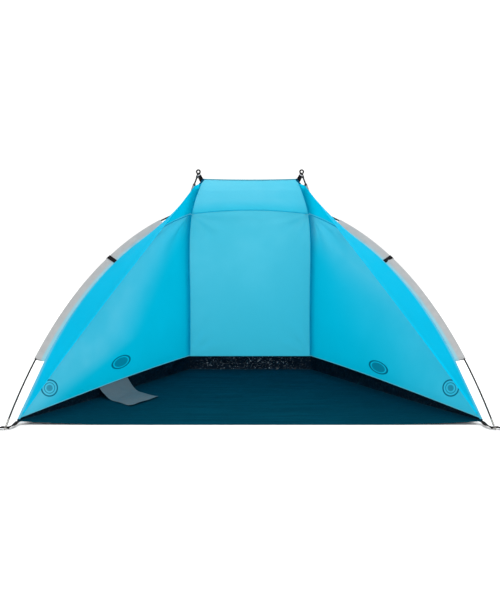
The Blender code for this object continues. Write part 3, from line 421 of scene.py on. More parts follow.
def sew(name, grid, finish, edges=(), replaces=(), slot=None, body="shelter"):
    """A sheet of cloth over a grid of points, with its lengths and its seams' nearness as maps."""
    rows, columns = grid.shape[:2]
    across, along, gap = edge_gap(grid, edges)
    mesh = bpy.data.meshes.new(name)
    index = np.arange(rows * columns).reshape(rows, columns)
    corners = [index[:-1, :-1], index[:-1, 1:], index[1:, 1:], index[1:, :-1]]
    quads = np.stack(corners, axis=-1).reshape(-1, 4)
    mesh.from_pydata(grid.reshape(-1, 3).tolist(), [], quads.tolist())
    loops = quads.reshape(-1)
    for label, first, second in (("cut", across, along), ("nearness", gap, along)):
        layer = mesh.uv_layers.new(name=label)
        pairs = np.stack([first.reshape(-1)[loops], second.reshape(-1)[loops]], axis=1)
        layer.data.foreach_set("uv", pairs.astype(np.float32).ravel())
    weld = bmesh.new()
    weld.from_mesh(mesh)
    bmesh.ops.remove_doubles(weld, verts=weld.verts, dist=2e-5)
    bmesh.ops.recalc_face_normals(weld, faces=weld.faces)
    weld.to_mesh(mesh)
    weld.free()
    mesh.shade_smooth()
    mesh.materials.append(finish.made)
    made = bpy.data.objects.new(name, mesh)
    scene.collection.objects.link(made)
    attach(made, body)
    if replaces:
        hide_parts(*replaces)
    return made


def ribbon(name, line, side, width, thickness, finish, **facts):
    """A flat strip with rounded edges along a line; side is the direction across it."""
    line = np.asarray(line, float)
    ahead = unit(np.gradient(line, axis=0))
    side = np.broadcast_to(np.asarray(side, float), line.shape)
    side = unit(side - (side * ahead).sum(1, keepdims=True) * ahead)
    face = np.cross(ahead, side)
    half, edge = np.broadcast_to(width, len(line)) / 2, thickness / 2
    section = [(-1, 0), (-0.94, 0.8), (-0.75, 1), (0, 1), (0.75, 1), (0.94, 0.8), (1, 0)]
    section += [(0.94, -0.8), (0.75, -1), (0, -1), (-0.75, -1), (-0.94, -0.8), (-1, 0)]
    grid = np.stack([line + side * (a * half)[:, None] + face * b * edge for a, b in section], axis=1)
    middle = line[:, None]
    closed = [middle[:1] + (grid[:1] - middle[:1]) * s for s in (0.02, 0.9)]
    ends = [middle[-1:] + (grid[-1:] - middle[-1:]) * s for s in (0.9, 0.02)]
    return sew(name, np.concatenate([*closed, grid, *ends]), finish, **facts)


def floor_rows():
    """From the front edge back; the rucks lie mostly from side to side and die out at the edges."""
    back, aside = np.linspace(0.0, 1.0, FLOOR_ROWS + 1), np.linspace(-1.0, 1.0, FLOOR_COLUMNS + 1)
    back, aside = np.meshgrid(back, aside, indexing="ij")
    y = FRONT_EDGE - FLOOR_ALLOWANCE + back * (FLOOR_DEPTH + 2 * FLOOR_ALLOWANCE)
    sewn = half_width(back) * aside
    height = floor_underside(sewn, y) + FLOOR_THICKNESS
    grid = np.stack([sewn + FLOOR_ALLOWANCE * aside, y, height], axis=-1)
    still = np.clip((1 - np.abs(aside)) * 6, 0, 1) * np.clip((1 - back) * 6, 0, 1) * np.clip(back * 9, 0, 1)
    rucks = waves(grid * [1.0, 2.6, 1.0], length=0.42, seed=11) * LONG_RUCK
    rucks += waves(grid * [2.0, 1.0, 1.0], length=0.16, seed=12) * SHORT_RUCK
    grid[..., 2] += still * (rucks + RUCKS_OFF)
    return grid


sheeting = Finish("woven_sheeting", 0.7, Specular_IOR_Level=0.01)
u, v = sheeting.map("cut")
near, _ = sheeting.map("nearness")
weft = v.wave(SHEETING_PITCH) * (0.55 + 0.45 * sheeting.noise(42.0, stretch=(0.25, 6.0, 1.0)))
warp = u.wave(SHEETING_PITCH * 0.8)
cloudy = sheeting.noise(5.0, detail=5.0)
streaks = sheeting.noise(1.0, detail=4.0, stretch=(2.2, 58.0, 1.0)).fade(0.62, 0.36)
# Painted light: the floor is coloured paler in its middle and darker towards its sides.
painted_light_middle = abs(sheeting.place_along(0)).fade(0.20, 0.85)
crumple = sheeting.noise(26.0, detail=6.0, stretch=(0.7, 1.6, 1.0))
tint = sheeting.mix(cloudy * 0.35 + painted_light_middle * 0.65, SHEETING_DEEP, SHEETING_TONE_AND_LIT)
tint = sheeting.mix(streaks, tint, SHEETING_STREAK)
# Painted shade: the floor is coloured darker within about 14 cm of its sides and rear, where the walls and
# skirt shade it.
tint = sheeting.mix(near.fade(0.0, 0.14) * 0.7, tint, SHEETING_EDGE_SHADE)
tint = sheeting.mix(0.34 * weft + 0.12 * warp, tint, SHEETING_LIT)
bumps = sheeting.relief(weft * 0.7 + warp * 0.3, 0.0006, 0.5)
bumps = sheeting.relief(crumple, 0.012, 0.35, over=bumps)
sheeting.shade(Base_Color=tint, Roughness=0.6 + 0.2 * crumple, Normal=bumps)
grid, sewn_sides = floor_rows(), ("start", "end", "top")
floor_sheet = sew("floor_sheet_cloth", grid, sheeting, sewn_sides, ("floor_sheet",), "floor_sheeting")
x = np.linspace(FLOOR_HEM_SHORT - FLOOR_FRONT_HALF, FLOOR_FRONT_HALF - FLOOR_HEM_SHORT, 120)
y = np.full(len(x), FRONT_EDGE - FLOOR_ALLOWANCE + FLOOR_HEM / 2)
front = evenly(np.stack([x, y, floor_underside(x, FRONT_EDGE) + FLOOR_THICKNESS], axis=1), 150)
floor_hem = ribbon(
    "floor_front_hem", front, (0.0, 1.0, 0.0), FLOOR_HEM, FLOOR_HEM_THICKNESS, sheeting,
    slot="floor_sheeting",
)

# Side walls. Thin polyester, cut as one panel each between the rear seam and the long
# pole's seam, and drawn to a point where the poles cross. Two plain marks are printed on
# each in a deeper tone: a ringed disc near the front corner and a rimmed oval by the foot.
SEAT = 0.0003
TOE_HEIGHT, SKIRT_HEIGHT, SKIRT_CURVE = 0.008, 0.083, 1.8
SLEEVE_MOUTH = 0.40
WALL_ROWS, WALL_COLUMNS = 110, 64
WALL_BILLOW = 0.0035
MIRROR = np.array([-1.0, 1.0, 1.0])
SIDES = (("left", np.ones(3)), ("right", MIRROR))


def skirt_top(points):
    share = 1 - (points[..., 1] - FRONT_EDGE) / FLOOR_DEPTH
    rise = 1 - np.clip(share, 0.0, 1.0) ** SKIRT_CURVE
    low = floor_underside(points[..., 0], points[..., 1]) + FLOOR_THICKNESS + SEAT
    return low + TOE_HEIGHT + (SKIRT_HEIGHT - TOE_HEIGHT) * rise


TOE = np.array([-FLOOR_FRONT_HALF, FRONT_EDGE, CORNER_LIFT + FLOOR_THICKNESS + SEAT + TOE_HEIGHT])
pole_seam = HOOP.place(np.linspace(SLEEVE_MOUTH, CROSSING, 120), SEAM_DROP)
FRONT_SEAM = np.concatenate([[TOE], pole_seam])
meets = np.argmin(np.linalg.norm(REAR_CURVE - CROSSING_POINT, axis=1))
SKIRT_SEAT = SKIRT_HEIGHT + FLOOR_THICKNESS + SEAT
lower = REAR_CURVE[: meets + 1]
REAR_SEAM = np.concatenate([[[*rear_foot[:2], SKIRT_SEAT]], lower[lower[:, 2] > SKIRT_SEAT]])
REAR_SEAM[-1] = CROSSING_POINT
TOP_SEAM = np.concatenate([[CROSSING_POINT], REAR_CURVE[meets + 1 :]])


def wall_rows(rows, columns):
    """Threads run straight from the rear seam to the pole's seam."""
    rear, fore = evenly(REAR_SEAM, rows), evenly(FRONT_SEAM, rows)
    share = np.linspace(0.0, 1.0, columns + 1)[None, :, None]
    grid = rear[:, None] + share * (fore - rear)[:, None]
    foot = skirt_top(grid[0]) - grid[0, :, 2]
    grid[:, :, 2] += np.linspace(1.0, 0.0, rows + 1)[:, None] ** 2 * foot
    return grid


def still_edges(rows, columns, sharp=7.0):
    """1 in the middle of a sheet, falling to 0 on its edges."""
    ways = (np.linspace(0, 1, count + 1) for count in (rows, columns))
    along, across = (np.clip(way * sharp, 0, 1) * np.clip((1 - way) * sharp, 0, 1) for way in ways)
    return along[:, None] * across


def drawn(grid, centre, depth, reach, folds, turn=0.0):
    """Folds that fan out over a sheet from a point where it is pulled."""
    reaching = grid - centre
    far = np.linalg.norm(reaching, axis=-1)
    one = unit(grid[-1, 0] + grid[0, -1] - 2 * grid[0, 0] + 1e-6)
    face = unit(np.cross(grid[-1, 0] - grid[0, 0] + 1e-6, grid[0, -1] - grid[0, 0] + 1e-6))
    other = np.cross(face, one)
    angle = np.arctan2(reaching @ other, reaching @ one)
    fall = (far / reach) * np.exp(1 - far / reach)
    return depth * np.sin(folds * angle + turn) * fall**2


def grid_normals(grid):
    along = np.gradient(grid, axis=0)
    across = np.gradient(grid, axis=1)
    normal = np.cross(across, along)
    return normal / np.maximum(np.linalg.norm(normal, axis=-1, keepdims=True), 1e-12)


def shaped(grid, depth, edges):
    """The sheet moved off its own surface by depth, less towards its edges."""
    return grid + grid_normals(grid) * (depth * edges)[..., None]


CLOTH_PITCH, SEAM_ALLOWANCE, PUCKERS_REACH = 0.0011, 0.010, 0.05


def scaled(colour, share):
    return tuple(min(1.0, c * share) for c in colour)


def polyester(name, deep, glow, thin=0.4, fade=None, finer=None):
    """Thin dyed polyester. A fine weave breaks up its sheen, and light comes through it as glow,
    less at its seams, where it lies double. It is fade's colour where fade says so, which is
    painted light: a painted sheen on the walls, painted light on the rear wall and hood, and
    painted light and shade on the roof. And finer adds what is peculiar to one panel: it takes
    the cloth, its two lengths and its colour, and gives the colour back with how much light that part
    stops."""
    cloth = Finish(name, 0.6, Specular_IOR_Level=0.03)
    u, v = cloth.map("cut")
    near, _ = cloth.map("nearness")
    weave = u.wave(CLOTH_PITCH) * v.wave(CLOTH_PITCH)
    cloudy = cloth.noise(2.4).fade(0.62, 0.38)
    slubs = cloth.noise(60.0, stretch=(0.2, 1.0, 6.0))
    tint = cloth.mix(fade[1](u, v), deep, fade[0]) if fade else deep
    tint = cloth.mix(cloudy * 0.35, tint, scaled(deep, 0.86))
    tint = cloth.mix(0.10 * weave + 0.06 * slubs, tint, scaled(deep, 1.3))
    double = near.fade(0.0, SEAM_ALLOWANCE)
    tint, stopped = cloth.mix(double * 0.25, tint, scaled(deep, 0.62)), double * 0.3
    if finer:
        tint, more = finer(cloth, u, v, tint)
        stopped = stopped + more
    puckers = cloth.noise(70.0, detail=2.0) * near.fade(0.0, PUCKERS_REACH)
    creases = cloth.noise(7.0, detail=5.0, roughness=0.55)
    bumps = cloth.relief(puckers, 0.006, 0.7, over=cloth.relief(weave, 0.0002, 0.25))
    bumps = cloth.relief(creases, 0.016, 0.22, over=bumps)
    cloth.shade(Base_Color=tint, Roughness=0.5 + 0.16 * slubs, Normal=bumps)
    cloth.let_through(glow, thin - thin * stopped)
    return cloth


WALL_DEEP, WALL_PAINTED_SHEEN, WALL_GLOW = (0.0, 0.49, 0.70), (0.19, 0.62, 0.77), (0.0, 0.47, 0.68)
INK = (0.0, 0.085, 0.165)
POLE_SHADE, POLE_SHADE_REACH = (0.0, 0.31, 0.55), 0.048
FOOT_EDGE = (0.24, 0.44, 0.50)
ROUNDEL = (1.184, 0.120, 0.066, 0.050, math.radians(53))
BADGES = {"left": (0.640, 0.107, 0.082, 0.040, 0.0), "right": (0.640, 0.073, 0.082, 0.040, 0.0)}


def within(cloth, u, v, place):
    """How far out a point is in an oval print: 1 on its edge."""
    across, along, long, wide, slant = place
    x = ((u - across) * math.cos(slant) + (v - along) * math.sin(slant)) / long
    y = ((v - along) * math.cos(slant) - (u - across) * math.sin(slant)) / wide
    return cloth.add("ShaderNodeMath", {"operation": "SQRT"}, {0: x * x + y * y})


# Painted sheen: the paler colour ahead of the slanting line stands for light glancing off the cloth; the
# two walls differ.
def left_painted_sheen(u, v):
    slant = u + 0.8 * v - v.fade(0.0, 0.25) * 0.42
    return slant.fade(1.02, 0.62)


def right_painted_sheen(u, v):
    slant = (u + v - 0.4) / 1.1
    return slant * abs(slant) + v.fade(1.0, 0.45) * slant.fade(0.45, 0.23) * 1.2


def wall_finish(side, painted_sheen):
    """The wall's cloth is coloured paler ahead of a slanting line, a painted sheen, and carries the
    two prints; a painted shadow of the rear pole in its sleeve darkens it along the rear seam."""

    def panel(cloth, u, v, tint):
        disc, oval = within(cloth, u, v, ROUNDEL), within(cloth, u, v, BADGES[side])
        inked = disc.fade(0.34, 0.40) * 0.7 + abs(disc - 0.60).fade(0.03, 0.06) * 0.9
        inked = inked + abs(disc - 0.92).fade(0.06, 0.10)
        inked = inked + oval.fade(0.66, 0.70) * 0.8 + abs(oval - 0.90).fade(0.07, 0.11)
        shadow = u.fade(0.004, POLE_SHADE_REACH) * 0.8
        tint = cloth.mix(shadow, tint, POLE_SHADE)
        tint = cloth.mix(v.fade(0.004, 0.008) * 0.7, tint, FOOT_EDGE)
        return cloth.mix(inked * 0.9, tint, INK), inked * 0.85 + shadow * 0.5

    return polyester(f"{side}_wall_polyester", WALL_DEEP, WALL_GLOW, fade=(WALL_PAINTED_SHEEN, painted_sheen), finer=panel)


for (side, flip), painted_sheen, seed in zip(SIDES, (left_painted_sheen, right_painted_sheen), (21, 31)):
    grid = wall_rows(WALL_ROWS, WALL_COLUMNS)
    depth = WALL_BILLOW * waves(grid, length=0.9, seed=seed)
    depth += drawn(grid, CROSSING_POINT, depth=0.006, reach=0.13, folds=9.0, turn=seed)
    depth += drawn(grid, TOE, depth=0.003, reach=0.12, folds=7.0, turn=seed)
    grid = shaped(grid, depth, still_edges(WALL_ROWS, WALL_COLUMNS)) * flip
    cloth, sewn_sides = wall_finish(side, painted_sheen), ("start", "end", "foot")
    wall = sew(f"{side}_wall_cloth", grid, cloth, sewn_sides, (f"{side}_side_wall",), "wall_cloth")

# Rear wall. One straight panel of the same polyester between the two rear seams, arched a
# little along the seam to the roof.
REAR_ROWS, REAR_COLUMNS = 90, 70
ROOF_SEAM_RISE = 0.022
REAR_BILLOW = 0.003
REAR_DEEP, REAR_PAINTED_LIGHT, REAR_GLOW = (0.05, 0.43, 0.58), (0.17, 0.56, 0.68), (0.03, 0.46, 0.63)


def across_rows(edge, low, high, rows, columns):
    """A panel from an edge to its mirror image, arched at its foot and top by these rises."""
    line = evenly(edge, rows)
    share = np.linspace(-1.0, 1.0, columns + 1)[None, :]
    up = np.linspace(0.0, 1.0, rows + 1)[:, None]
    rise = low * (1 - up) ** 2 + high * up**2
    grid = np.empty((rows + 1, columns + 1, 3))
    grid[..., 0] = -line[:, :1] * share
    grid[..., 1] = line[:, 1:2]
    grid[..., 2] = line[:, 2:3] + rise * (1 - share**2)
    return grid


# Painted light: the rear wall is coloured paler upward, and a little more so on its left.
def rear_painted_light_share(u, v):
    return (v - u * 0.35).fade(0.80, -0.15)


rear_cloth = polyester("rear_polyester", REAR_DEEP, REAR_GLOW, fade=(REAR_PAINTED_LIGHT, rear_painted_light_share))
grid = across_rows(REAR_SEAM, 0.0, ROOF_SEAM_RISE, REAR_ROWS, REAR_COLUMNS)
depth = REAR_BILLOW * waves(grid, length=0.7, seed=41)
for turn, (_, flip) in enumerate(SIDES):
    depth += drawn(grid, CROSSING_POINT * flip, depth=0.005, reach=0.11, folds=9.0, turn=turn)
    depth += drawn(grid, REAR_SEAM[0] * flip, depth=0.005, reach=0.10, folds=11.0, turn=turn + 2)
grid = shaped(grid, depth, still_edges(REAR_ROWS, REAR_COLUMNS, sharp=12.0))
sewn_sides = ("start", "end", "foot", "top")
rear_wall = sew("rear_wall_cloth", grid, rear_cloth, sewn_sides, ("rear_wall",), "wall_cloth")

# Roof panel. Polyester from the rear wall's arched seam forward to the top edge, which is
# hemmed and pulled between the two rear poles. Its two front corners are cut off slanting,
# and each cut is bound with a dark blue patch that holds the tab.
ROOF_ROWS, ROOF_COLUMNS = 36, 100
TOP_CUT = np.array([0.020, -0.015, 0.021])
TOP_EDGE_SAG, CUT_SHARE, TURNED_ROWS_SHARE = 0.004, 0.88, 0.75
TOP_HEM_WIDTH, TOP_HEM_THICKNESS = 0.0075, 0.0020
PATCH_WIDTH, PATCH_THICKNESS, PATCH_SIDE = 0.012, 0.0024, (0.0, 0.8, -0.6)
ROOF_BILLOW = 0.002
ROOF_DEEP, ROOF_PAINTED_LIGHT, ROOF_GLOW = (0.035, 0.50, 0.70), (0.23, 0.57, 0.72), (0.04, 0.52, 0.70)
TOP_HEM_DEEP, TOP_HEM_GLOW = (0.14, 0.48, 0.58), (0.10, 0.44, 0.54)
PATCH_DEEP, PATCH_GLOW = (0.0, 0.09, 0.19), (0.0, 0.10, 0.20)


def top_edge(share):
    """The roof's free edge, from corner to cut, cut to cut and cut to corner."""
    cut = TOP_CORNER + TOP_CUT
    inner = np.clip(share / CUT_SHARE, -1.0, 1.0)
    outer = np.clip((np.abs(share) - CUT_SHARE) / (1 - CUT_SHARE), 0.0, 1.0)
    sag = TOP_EDGE_SAG * (1 - inner**2)
    line = np.stack([-cut[0] * inner, np.full(len(share), cut[1]), cut[2] - sag], axis=1)
    aside = np.stack([-np.sign(share), np.ones(len(share)), np.ones(len(share))], axis=1)
    return line - outer[:, None] * TOP_CUT * aside


def roof_rows(rows, columns):
    """Only the last rows turn from the side seams' run to the shape of the free edge."""
    grid = across_rows(TOP_SEAM, ROOF_SEAM_RISE, 0.0, rows, columns)
    share = np.linspace(0.0, 1.0, rows + 1)[:, None, None]
    late = np.clip((share - TURNED_ROWS_SHARE) / (1 - TURNED_ROWS_SHARE), 0.0, 1.0)
    return grid + late * (top_edge(np.linspace(-1.0, 1.0, columns + 1)) - grid[-1])


# Painted shade and light: the roof is coloured deeper in a band along its rear seam, where the sleeve
# behind shades it, and paler beyond.
def roof_painted_light_and_shade(u, v):
    return v.fade(0.13, 0.0)


roof_cloth = polyester("roof_polyester", ROOF_DEEP, ROOF_GLOW, fade=(ROOF_PAINTED_LIGHT, roof_painted_light_and_shade))
grid = roof_rows(ROOF_ROWS, ROOF_COLUMNS)
depth = ROOF_BILLOW * waves(grid, length=0.5, seed=51)
grid = shaped(grid, depth, still_edges(ROOF_ROWS, ROOF_COLUMNS))
roof = sew("roof_panel_cloth", grid, roof_cloth, sewn_sides, ("roof_panel",), "hood_cloth")
hem_cloth = polyester("hem_polyester", TOP_HEM_DEEP, TOP_HEM_GLOW)
line = top_edge(np.linspace(-CUT_SHARE, CUT_SHARE, 90))
width, thickness = TOP_HEM_WIDTH, TOP_HEM_THICKNESS
trim = [ribbon("roof_top_hem", line, PATCH_SIDE, width, thickness, hem_cloth, slot="hood_cloth")]
patch_cloth = polyester("patch_polyester", PATCH_DEEP, PATCH_GLOW, thin=0.1)
for side, flip in SIDES:
    line = (TOP_CORNER + np.linspace(-0.15, 1.1, 16)[:, None] * TOP_CUT) * flip
    name, width, thickness = f"{side}_corner_patch", PATCH_WIDTH, PATCH_THICKNESS
    trim.append(ribbon(name, line, PATCH_SIDE, width, thickness, patch_cloth, slot="hood_cloth"))

# Hood panels. Polyester from the long pole's seam to a free front hem on each side; the
# hem is a turned edge pulled straight from the floor's corner to the top corner.
HOOD_COLUMNS = 30
HEM_TOE, HEM_HOLLOW, HEM_WIDTH, HEM_THICKNESS = 0.012, 0.016, 0.010, 0.0018
HEM_TIP = TOP_CORNER + [-0.031, 0.025, -0.013]
TIP_ROWS = 16
HOOD_BILLOW = 0.0025
HOOD_DEEP, HOOD_PAINTED_GLOW, HOOD_GLOW = (0.0, 0.50, 0.75), (0.34, 0.60, 0.70), (0.0, 0.54, 0.78)
HOOD_HEM_DEEP, HOOD_HEM_GLOW = (0.0, 0.54, 0.82), (0.0, 0.54, 0.80)


def hood_rows(rows, columns):
    """The hem is cut hollow up to its tip on the rear sleeve, and turns there to the top corner."""
    last = max(1, round(rows / TIP_ROWS))
    fore = evenly(FRONT_SEAM, rows)
    hem = evenly(np.array([TOE + [HEM_TOE, 0.0, 0.0], HEM_TIP]), rows - last)
    run, share = unit(hem[-1] - hem[0]), np.linspace(0.0, 1.0, rows - last + 1)[:, None]
    to_seam = fore[: rows - last + 1] - hem
    to_seam -= (to_seam @ run)[:, None] * run
    hem += 4 * HEM_HOLLOW * share * (1 - share) * unit(to_seam)
    hem = np.concatenate([hem, evenly(np.array([HEM_TIP, TOP_CORNER]), last)[1:]])
    top = evenly(TOP_SEAM, columns)
    share = np.linspace(0.0, 1.0, columns + 1)[:, None]
    arch = top - (top[0] + share * (top[-1] - top[0]))
    rise = np.linspace(0.0, 1.0, rows + 1)[:, None, None] ** 2
    return fore[:, None] + share[None] * (hem - fore)[:, None] + rise * arch[None]


# Painted light: the hood is coloured paler in a strip about 2 cm wide along its seam by the grey sleeve, a
# glow where the grey meets the blue.
def hood_painted_glow_share(u, v):
    return u.fade(0.0, 0.019) * 0.75


hood_cloth = polyester("hood_polyester", HOOD_DEEP, HOOD_GLOW, fade=(HOOD_PAINTED_GLOW, hood_painted_glow_share))
hood_hem = polyester("hood_hem_polyester", HOOD_HEM_DEEP, HOOD_HEM_GLOW, thin=0.25)
for (side, flip), seed in zip(SIDES, (61, 71)):
    grid = hood_rows(WALL_ROWS, HOOD_COLUMNS)
    depth = HOOD_BILLOW * waves(grid, length=0.6, seed=seed)
    depth += drawn(grid, TOE, depth=0.004, reach=0.16, folds=8.0, turn=seed)
    grid = shaped(grid, depth, still_edges(WALL_ROWS, HOOD_COLUMNS)) * flip
    name, sewn_sides = f"{side}_hood_cloth", ("start", "end", "top")
    hood = sew(name, grid, hood_cloth, sewn_sides, (f"{side}_hood_panel",), "hood_cloth")
    rows = slice(2, -(WALL_ROWS // TIP_ROWS) - 1)
    inward = unit(grid[rows, -2] - grid[rows, -1])
    line = grid[rows, -1] + inward * HEM_WIDTH / 2
    hem = ribbon(f"{side}_hood_hem", line, inward, HEM_WIDTH, HEM_THICKNESS, hood_hem, slot="hood_cloth")

# Ground skirt. A strip of shiny coated sheeting joins the walls' foot to the floor along
# the left, rear and right edges; it is loose, so it creases all along.
SKIRT_ROWS = 18
SKIRT_BULGE, SKIRT_CREASE, SKIRT_OFF = 0.0045, 0.0025, 0.004
FILM_BLACK, FILM_BLUE, FILM_GLINT = (0.0, 0.002, 0.006), (0.0, 0.010, 0.022), (0.42, 0.50, 0.54)
film = Finish("coated_film", 0.4, Coat_Roughness=0.15, Specular_IOR_Level=0.05)
crinkle = film.noise(46.0, detail=7.0, roughness=0.68)
creased = film.noise(130.0, detail=5.0, stretch=(1.0, 1.0, 0.5))
# Painted highlights: sparse pale specks where light would catch the sharpest creases, far more of them on
# the rear skirt.
painted_glints = film.noise(120.0, detail=6.0, roughness=0.7, stretch=(0.7, 1.0, 1.8)).fade(0.64, 0.58)
at_rear = film.place_along(1).fade(0.60, 0.35) * abs(film.place_along(0)).fade(0.16, 0.40)
tint = film.mix(crinkle, FILM_BLACK, FILM_BLUE)
film.shade(
    Base_Color=film.mix(painted_glints * (0.07 + 0.73 * at_rear), tint, FILM_GLINT),
    Roughness=0.3 + 0.25 * creased,
    Coat_Weight=crinkle.fade(0.68, 0.58) * 0.8,
    Normal=film.relief(crinkle, 0.010, 0.8, over=film.relief(creased, 0.003, 0.6)),
)
side_foot = wall_rows(1, 90)[0][::-1]
rear_foot_line = across_rows(REAR_SEAM, 0.0, 0.0, 1, 80)[0]
top = np.concatenate([side_foot, rear_foot_line[1:-1], (side_foot * MIRROR)[::-1]])
top[:, 2] = skirt_top(top)
low = top.copy()
low[:, 2] = floor_underside(low[:, 0], low[:, 1]) + FLOOR_THICKNESS + SEAT
share = np.linspace(0.0, 1.0, SKIRT_ROWS + 1)[:, None, None]
grid = low[None] + share * (top - low)[None]
outward = unit(top * [1.0, 1.0, 0.0])
loose = (np.sin(np.pi * share[..., 0]) ** 0.7) * np.minimum((top - low)[:, 2] / 0.05, 1.0)[None]
depth = SKIRT_BULGE * waves(grid, length=0.10, seed=81, count=9)
depth += SKIRT_CREASE * waves(grid * [1, 1, 2.5], length=0.045, seed=82, count=9) + SKIRT_OFF
grid = grid + outward[None] * (depth * loose)[..., None]
skirt = sew("ground_skirt_sheeting", grid, film, ("top",), ("ground_skirt",), "skirt_sheeting")

# Seams. The panels are joined with felled seams: the allowances are folded together and
# stitched down, which shows as a darker band inside the shelter.
SEAM_WIDTH, SEAM_THICKNESS, SEAM_LIFT = 0.007, 0.0012, 0.0012
REAR_SEAM_OFF, SIDE_SEAM_OFF = np.array([0.0, -1.0, 0.0]), np.array([0.0, -0.5, -0.8])
ROOF_SEAM_IN, ROOF_SEAM_OFF = np.array([0.0, -0.35, 0.93]), np.array([0.0, -0.8, -0.3])
STITCH_LENGTH, STITCH_ROWS, STITCH_EDGE = 0.0034, (0.0020, 0.0055), (0.0004, 0.0008)
UPRIGHT_LOW, UPRIGHT_HIGH = (0.0, 0.36, 0.58), (0.0, 0.42, 0.65)
ARCHED_LOW, ARCHED_HIGH = (0.0, 0.53, 0.80), (0.01, 0.58, 0.84)


def felled_finish(name, low, high):
    """Folded cloth with two rows of stitches."""
    felled = Finish(name, 0.6, Specular_IOR_Level=0.05)
    u, v = felled.map("cut")
    first, second = (abs(u - row).fade(*STITCH_EDGE) for row in STITCH_ROWS)
    dashes = v.wave(STITCH_LENGTH).fade(0.35, 0.5) * (first + second)
    rippled = felled.noise(120.0, detail=3.0)
    thread = tuple(c * 1.3 + 0.02 for c in high)
    felled.shade(
        Base_Color=felled.mix(dashes * 0.5, felled.mix(rippled, low, high), thread),
        Normal=felled.relief(rippled - dashes * 0.5, 0.002, 0.6),
    )
    return felled


def seam(name, line, inward, lift, finish):
    """A felled band whose edge runs on the seam, standing a little off the cloth inside."""
    middle = line + inward * SEAM_WIDTH / 2 + lift * SEAM_LIFT
    return ribbon(name, middle, inward, SEAM_WIDTH, SEAM_THICKNESS, finish, slot="wall_cloth")


rear_line, fore_line = evenly(REAR_SEAM, 120)[1:-1], evenly(FRONT_SEAM, 120)[1:-1]
top_line, roof_line = evenly(TOP_SEAM, 50)[1:-1], roof_rows(1, 80)[0][2:-2]
upright = felled_finish("felled_seam", UPRIGHT_LOW, UPRIGHT_HIGH)
arched = felled_finish("felled_roof_seam", ARCHED_LOW, ARCHED_HIGH)
for side, flip in SIDES:
    aside = np.array([1.0, 0.0, 0.0]) * flip
    seam(f"{side}_rear_seam", rear_line * flip, aside, REAR_SEAM_OFF, upright)
    seam(f"{side}_roof_side_seam", top_line * flip, aside, SIDE_SEAM_OFF, upright)
    seam(f"{side}_front_seam", fore_line * flip, unit(rear_line - fore_line) * flip, aside, upright)
seam("roof_rear_seam", roof_line, ROOF_SEAM_IN, ROOF_SEAM_OFF, arched)

# Front sleeves. Grey polyester doubled over the long pole and sewn to the wall's front
# seam, open at both ends. A black webbing band is stitched across each one.
SLEEVE_END, SLEEVE_STEP = 1.50, 0.008
SLEEVE_TUBE, SLEEVE_SIDES = 0.0150, (62, 298)
SLEEVE_ROOT_GAP, SLEEVE_ROOT_HALF = 0.0004, 0.0007
SLEEVE_LOOSE, SLEEVE_PUCKER, SLEEVE_PUCKER_LENGTH = 0.0006, 0.0014, 0.07
SLEEVE_PITCH, WEBBING_PITCH = 0.0012, 0.0016
SLEEVE_LOW, SLEEVE_HIGH, SLEEVE_GLOW = (0.36, 0.365, 0.37), (0.47, 0.475, 0.475), (0.42, 0.42, 0.43)
# Painted light: the blue glow that the sleeve's cloth takes near its seam.
SLEEVE_ROOT_PAINTED_GLOW = (0.22, 0.56, 0.67)
WEBBING_DEEP, WEBBING_WORN = (0.003, 0.0025, 0.003), (0.014, 0.012, 0.014)
BAND_AT, BAND_WIDTH, BAND_THICKNESS, BAND_LIFT, BAND_TURN = 1.12, 0.023, 0.0012, 0.0026, 0.004


def sleeve_loop(drop, count=9):
    """The sleeve's section round the pole: a tube whose two layers run flat to the seam."""
    turns = np.radians(np.linspace(*SLEEVE_SIDES, 2 * count + 1))
    arc = SLEEVE_TUBE / 2 * np.stack([np.cos(turns), np.sin(turns)], axis=1)
    root = np.array([drop - SLEEVE_ROOT_GAP, SLEEVE_ROOT_HALF])
    flat = root + (arc[0] - root) * np.linspace(0, 1, count)[:-1, None]
    return np.concatenate([flat, arc, flat[::-1] * [1.0, -1.0]])


def plain_polyester(name, low, high, glow, thin, painted_root_glow=None):
    """Grey polyester. Near the seam it may take a painted glow, light from the blue cloth it is sewn to."""
    cloth = Finish(name, 0.6, Sheen_Weight=0.04, Specular_IOR_Level=0.1)
    u, v = cloth.map("cut")
    near, _ = cloth.map("nearness")
    weave = u.wave(SLEEVE_PITCH) * v.wave(SLEEVE_PITCH)
    folds = cloth.noise(30.0, detail=4.0)
    tint = cloth.mix(folds, low, high)
    if painted_root_glow:
        # Painted glow from the blue cloth, fading away from the seam.
        tint = cloth.mix((near + v * 0.008).fade(0.008, 0.024) * 0.9, tint, painted_root_glow)
    tint = cloth.mix(v.fade(0.012, 0.014) * 0.15, tint, scaled(low, 0.6))
    bumps = cloth.relief(folds, 0.006, 0.4, over=cloth.relief(weave, 0.0003, 0.3))
    tint = cloth.mix(weave * 0.15, tint, scaled(high, 1.3))
    cloth.shade(Base_Color=tint, Roughness=0.5 + 0.2 * folds, Normal=bumps)
    cloth.let_through(glow, thin)
    return cloth


grey = plain_polyester("sleeve_polyester", SLEEVE_LOW, SLEEVE_HIGH, SLEEVE_GLOW, 0.25, painted_root_glow=SLEEVE_ROOT_PAINTED_GLOW)

webbing = Finish("woven_webbing", 0.75, Specular_IOR_Level=0.05)
u, v = webbing.map("cut")
ribs = (u + v).wave(WEBBING_PITCH) * 0.5 + (u - v).wave(WEBBING_PITCH) * 0.5
fuzz = webbing.noise(300.0, detail=4.0)
webbing.shade(
    Base_Color=webbing.mix(ribs * 0.6 + fuzz * 0.4, WEBBING_DEEP, WEBBING_WORN),
    Normal=webbing.relief(ribs, 0.0006, 0.7, over=webbing.relief(fuzz, 0.0004, 0.3)),
)


